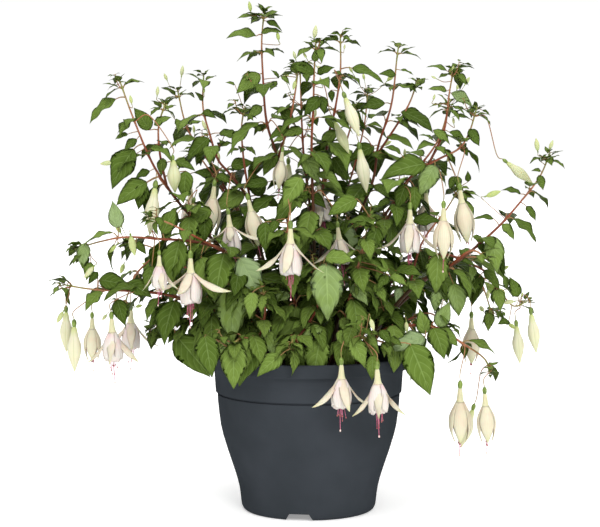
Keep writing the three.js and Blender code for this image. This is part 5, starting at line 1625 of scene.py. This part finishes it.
def make_thread(flower, start, end, radius, head, head_material):
    """A stamen or the pistil: a thin thread that ends in a small head."""
    tone = (0, PLAIN_DRAW)
    middle = (start + end) / 2 + np.array([*flower.draws.uniform(*THREAD_BENDS, size=2), 0])
    points = placed(flower, spline([start, middle, end], THREAD_STEPS))
    tube(flower.piece, points, radius * flower.size, tone, "filament", THREAD_SIDES)
    way = unit(points[-1] - points[-2])
    wide, long = head
    bulb = np.linspace(-1, 1, HEAD_RINGS)
    centre = points[-1] + way * long * flower.size * HEAD_OVERLAP
    radii = wide * flower.size * np.sqrt(np.maximum(1 - bulb ** 2, HEAD_LEAST))
    rings = centre + np.outer(bulb * long * flower.size / 2, way)
    tube(flower.piece, rings, radii, tone, head_material, HEAD_SIDES, blade=bulb)


def make_threads(flower):
    """The stamens in a ring, and the pistil in their middle."""
    draws = flower.draws
    foot = DOWN_THE_FLOWER * THREAD_FOOT
    for k in range(STAMEN_COUNT):
        out, _ = level_ways(2 * math.pi * (k + draws.uniform(*STAMEN_TURNS)) / STAMEN_COUNT)
        spread = out * STAMEN_SPREAD[flower.kind] * draws.uniform(*STAMEN_SPREADS)
        end = spread + DOWN_THE_FLOWER * draws.uniform(*STAMEN_REACH[flower.kind])
        make_thread(flower, out * THREAD_RING + foot, end, **STAMEN)
    end = np.array([*draws.uniform(*PISTIL_SPREADS, size=2), FULL_LENGTHS[flower.kind] - PISTIL_GAP])
    make_thread(flower, foot, end, **PISTIL)


def make_large_bud(flower):
    youth = flower.draws.uniform(*LARGE_BUD_YOUTH) if flower.size > LARGE_BUD_SIZE else SMALLER_BUD_YOUTH
    profile = [[radius * flower.girth, below] for radius, below in BUD_PROFILE]
    make_turned(flower.piece, flower, OVARY_PROFILE, 2, "ovary", youth, 14)
    make_turned(flower.piece, flower, profile, 3, "bud", youth, 32, seams=BUD_SEAMS)


def make_bloom(flower):
    make_turned(flower.piece, flower, OVARY_PROFILE, 3, "ovary", 0, 20)
    make_turned(flower.piece, flower, TUBE_PROFILE, 3, "tube", TUBE_YOUTH, 24, **TUBE_LOBES)
    if flower.kind == "open":
        for tip in flower.tips:
            make_sepal(flower, tip)
        make_corolla(flower)
    else:
        make_calyx(flower)
    make_threads(flower)


def dress_flower(flower, number):
    flower.draws = np.random.default_rng(FLOWER_SEED + number)
    flower.piece = Piece(flower.name + "_finished", "ovary", "tube", "sepal", "petal", "filament", "anther",
                         "stigma", "bud")
    if flower.kind == "bud":
        make_large_bud(flower)
        flower.piece.build("bud", flower.name)
    else:
        make_bloom(flower)
        flower.piece.build("bloom", flower.name)


# The pot and the soil

def make_mesh_object(name, points, faces, material):
    mesh = bpy.data.meshes.new(name)
    mesh.from_pydata((np.reshape(points, (-1, 3)) * MM).tolist(), [], faces)
    mesh.materials.append(material)
    return add_object(name, mesh)


def turned_mesh(profile, segments):
    """Points and faces of a closed profile of [radius, height] turned round the pot's axis."""
    profile = np.array(profile, float)
    ids = np.arange(len(profile) * segments).reshape(len(profile), segments)
    closed = wrapped(np.vstack([ids, ids[:1]]))
    return around(turns(segments), profile[:, :1], profile[:, 1:]), grid_quads(closed)[:, ::-1].tolist()


def arc(centre, radius, start, end, steps):
    """Points of a round stretch of a profile, from one angle to another in degrees."""
    angles = np.radians(np.linspace(start, end, steps))
    return [[centre[0] + radius * math.cos(a), centre[1] + radius * math.sin(a)] for a in angles]


def prism(name, *ends):
    """A cutter between two like outlines, each a row of points."""
    count = len(ends[0])
    faces = [[i, (i + 1) % count, (i + 1) % count + count, i + count] for i in range(count)]
    faces += [list(range(count))[::-1], list(range(count, 2 * count))]
    return make_mesh_object(name, ends, faces, MATERIALS["pot"])


def notch(number):
    """A cutter for a water notch in the foot."""
    outward, across = level_ways(math.radians(FIRST_NOTCH_DEGREES + 360 * number / NOTCH_COUNT))
    foot, top = NOTCH_WIDTH_FOOT / 2, NOTCH_WIDTH_TOP / 2
    outline = [[-foot, -1], [foot, -1], [top, NOTCH_HEIGHT], [-top, NOTCH_HEIGHT]]
    return prism(f"notch_{number}", *(
        [outward * reach + across * wide + UP * height for wide, height in outline]
        for reach in (FOOT_RADIUS - NOTCH_REACH, FOOT_RADIUS + NOTCH_REACH)))


def drain(number):
    """A cutter for a round hole in the floor."""
    centre = DRAIN_CIRCLE_RADIUS * level_ways(2 * math.pi * number / DRAIN_COUNT)[0]
    return prism(f"drain_{number}", *(
        centre + around(turns(DRAIN_SIDES), DRAIN_RADIUS, height) for height in DRAIN_HEIGHTS))


def cut(target, cutters):
    """Cuts the cutters out of the target and removes them."""
    for cutter in cutters:
        modifier = target.modifiers.new("cut", "BOOLEAN")
        modifier.operation = "DIFFERENCE"
        modifier.solver = "EXACT"
        modifier.object = cutter
    graph = bpy.context.evaluated_depsgraph_get()
    whole = bpy.data.meshes.new_from_object(target.evaluated_get(graph))
    target.modifiers.clear()
    target.data = whole
    for cutter in cutters:
        bpy.data.objects.remove(cutter)


def pot_profile():
    """The pot's closed profile of [radius, height], with its edges a little rounded."""
    lip_radius, _, height = POT_BOX[1]
    lip_foot = height - LIP_DEPTH
    roll_radius = lip_radius - LIP_ROLL
    ring_inside = FOOT_RADIUS - FOOT_RING_WIDTH
    outside = [
        [FLOOR_MIDDLE, FLOOR_UNDERSIDE], [ring_inside - 1.5, FLOOR_UNDERSIDE],
        [ring_inside - 0.3, FLOOR_UNDERSIDE - 0.6], [ring_inside, 0.5], [ring_inside + 0.5, 0],
        [FOOT_RADIUS - 0.4, 0], [FOOT_RADIUS + 1, 0.3], *POT_BODY, [BAND_TOP_RADIUS, lip_foot - 0.4],
    ]
    lip = [
        [roll_radius, lip_foot], *arc([roll_radius, lip_foot + 1], 1.0, -90, 0, 4),
        [lip_radius - 0.6, lip_foot + 3], [lip_radius - 0.2, height - LIP_ROLL - 1],
        *arc([roll_radius, height - LIP_ROLL], LIP_ROLL, 0, 180, 9),
        [lip_radius - 2 * LIP_ROLL - 0.3, height - 4], [lip_radius - LIP_INSIDE_INSET, lip_foot + 2],
    ]
    inside = [[radius - WALL, z] for radius, z in POT_BODY[::-1] if z > WALL_FOOT]
    floor = [
        [FOOT_RADIUS + 1, FLOOR_TOP + FLOOR_ROUND], [FOOT_RADIUS - 2, FLOOR_TOP], [FLOOR_MIDDLE, FLOOR_TOP],
    ]
    return [*outside, *lip, *inside, *floor]


def make_pot():
    points, faces = turned_mesh(pot_profile(), POT_SEGMENTS)
    pot = make_mesh_object("pot_finished", points, faces, MATERIALS["pot"])
    cut(pot, [notch(k) for k in range(NOTCH_COUNT)] + [drain(k) for k in range(DRAIN_COUNT)])
    pot.data.shade_smooth()
    pot.data.set_sharp_from_angle(angle=math.radians(SHARP_EDGE_DEGREES))
    dress(pot, "pot_plastic", "pot")


def make_soil():
    """A body of compost whose top is a crumbly surface, a little lower at the wall."""
    radius = POT_RADIUS_AT_SOIL - WALL - SOIL_GAP
    share = np.linspace(0, 1, SOIL_RINGS)[1:]
    turn = turns(SOIL_SEGMENTS)
    top = around(turn, (share * radius)[:, None], SOIL_TOP)
    for i, j in np.ndindex(top.shape[:2]):
        x, y, _ = top[i, j]
        place = Vector((x / CRUMB_SIZE, y / CRUMB_SIZE, 0))
        crumbs = noise.fractal(place, *CRUMB_ROUGHNESS) + HEAP_HEIGHT * abs(noise.noise(place * HEAP_SIZE))
        top[i, j, 2] = SOIL_TOP - CRUMB_SINK + CRUMB_HEIGHT * crumbs - SOIL_EDGE_DROP * share[i] ** 6
    waist_radius, waist = POT_WAIST
    lower = np.array([[radius - 0.5, SOIL_SHOULDER], [waist_radius - WALL - SOIL_GAP, waist],
                      [FOOT_RADIUS, FLOOR_TOP + FLOOR_ROUND + 0.4]])
    rings = np.vstack([top, around(turn, lower[:, :1], lower[:, 1:])])
    points = np.vstack([[[0, 0, SOIL_TOP - 2]], rings.reshape(-1, 3)])
    ids = np.arange(1, len(points)).reshape(-1, SOIL_SEGMENTS)
    closed = wrapped(ids)
    faces = grid_quads(closed).tolist()
    faces += [[0, closed[0, j], closed[0, j + 1]] for j in range(SOIL_SEGMENTS)]
    faces.append(ids[-1][::-1].tolist())
    soil = make_mesh_object("soil_finished", points, faces, MATERIALS["compost"])
    soil.data.shade_smooth()
    dress(soil, "compost", "soil")


# The studio

def make_floor():
    corners = np.array([[-1, -1, 0], [1, -1, 0], [1, 1, 0], [-1, 1, 0]]) * FLOOR_REACH
    floor = make_mesh_object("floor", corners, [[0, 1, 2, 3]], studio_floor())


def make_sky():
    """A softbox above, a white wall far behind, and dimmer sides."""
    world = bpy.data.worlds.new("studio")
    world.use_nodes = True
    sky = Nodes(world.node_tree)
    _, behind, above = sky.parts(sky.node("TexCoord", {}, "Generated"))
    lights = [sky.node("MapRange", dict(enumerate([way, *values])))
              for way, values in ((above, SKY_ABOVE), (behind, SKY_BEHIND))]
    background = sky.tree.nodes["Background"]
    background.inputs["Color"].default_value = (1, 1, 1, 1)
    sky.tree.links.new(sky.math("MAXIMUM", *lights), background.inputs["Strength"])
    bpy.context.scene.world = world
    bpy.context.scene.view_settings.view_transform = "Standard"


def add_light(name, kind, place, energy, wide):
    lamp = bpy.data.lights.new(name, kind)
    lamp.energy = energy
    if kind == "SUN":
        lamp.angle = math.radians(wide)
    else:
        lamp.size = wide
    light = add_object(name, lamp)
    light.location = place
    aim = Vector((0, 0, LIGHTS_AIM_HEIGHT)) - light.location
    light.rotation_euler = aim.to_track_quat("-Z", "Y").to_euler()


def make_camera():
    """The photograph's camera: its distance and lens from the lip's width in pixels."""
    camera = add_object("camera", bpy.data.cameras.new("camera"))
    camera.data.sensor_width = SENSOR_WIDTH
    camera.data.lens = FOCAL_PIXELS / PHOTO_WIDTH * SENSOR_WIDTH
    camera.data.clip_end = CAMERA_SIGHT
    camera.location = CAMERA_PLACE * MM
    camera.rotation_euler = (math.radians(90) - PITCH, 0, 0)
    bpy.context.scene.camera = camera


make_camera()
make_floor()
make_sky()
for light_row in LIGHTS:
    add_light(*light_row)
make_pot()
make_soil()

BLOOMS = [flower_of(name, stem, *rest) for stem, rows in FLOWERS.items() for name, *rest in rows]
grown = [grow_stem(row, number) for number, row in enumerate(STEMS)]
shown = [stem for stem in grown if not is_hidden(stem)]
for place_in_view, regions in ((leaf_in_view, LEAVES_IN_VIEW), (bud_in_view, BUDS_IN_VIEW)):
    for region, rows in regions.items():
        for row in rows:
            place_in_view(shown, region, *row)
for number, stem in enumerate(grown):
    dress_stem(stem, number)
for number, flower in enumerate(BLOOMS):
    dress_flower(flower, number)
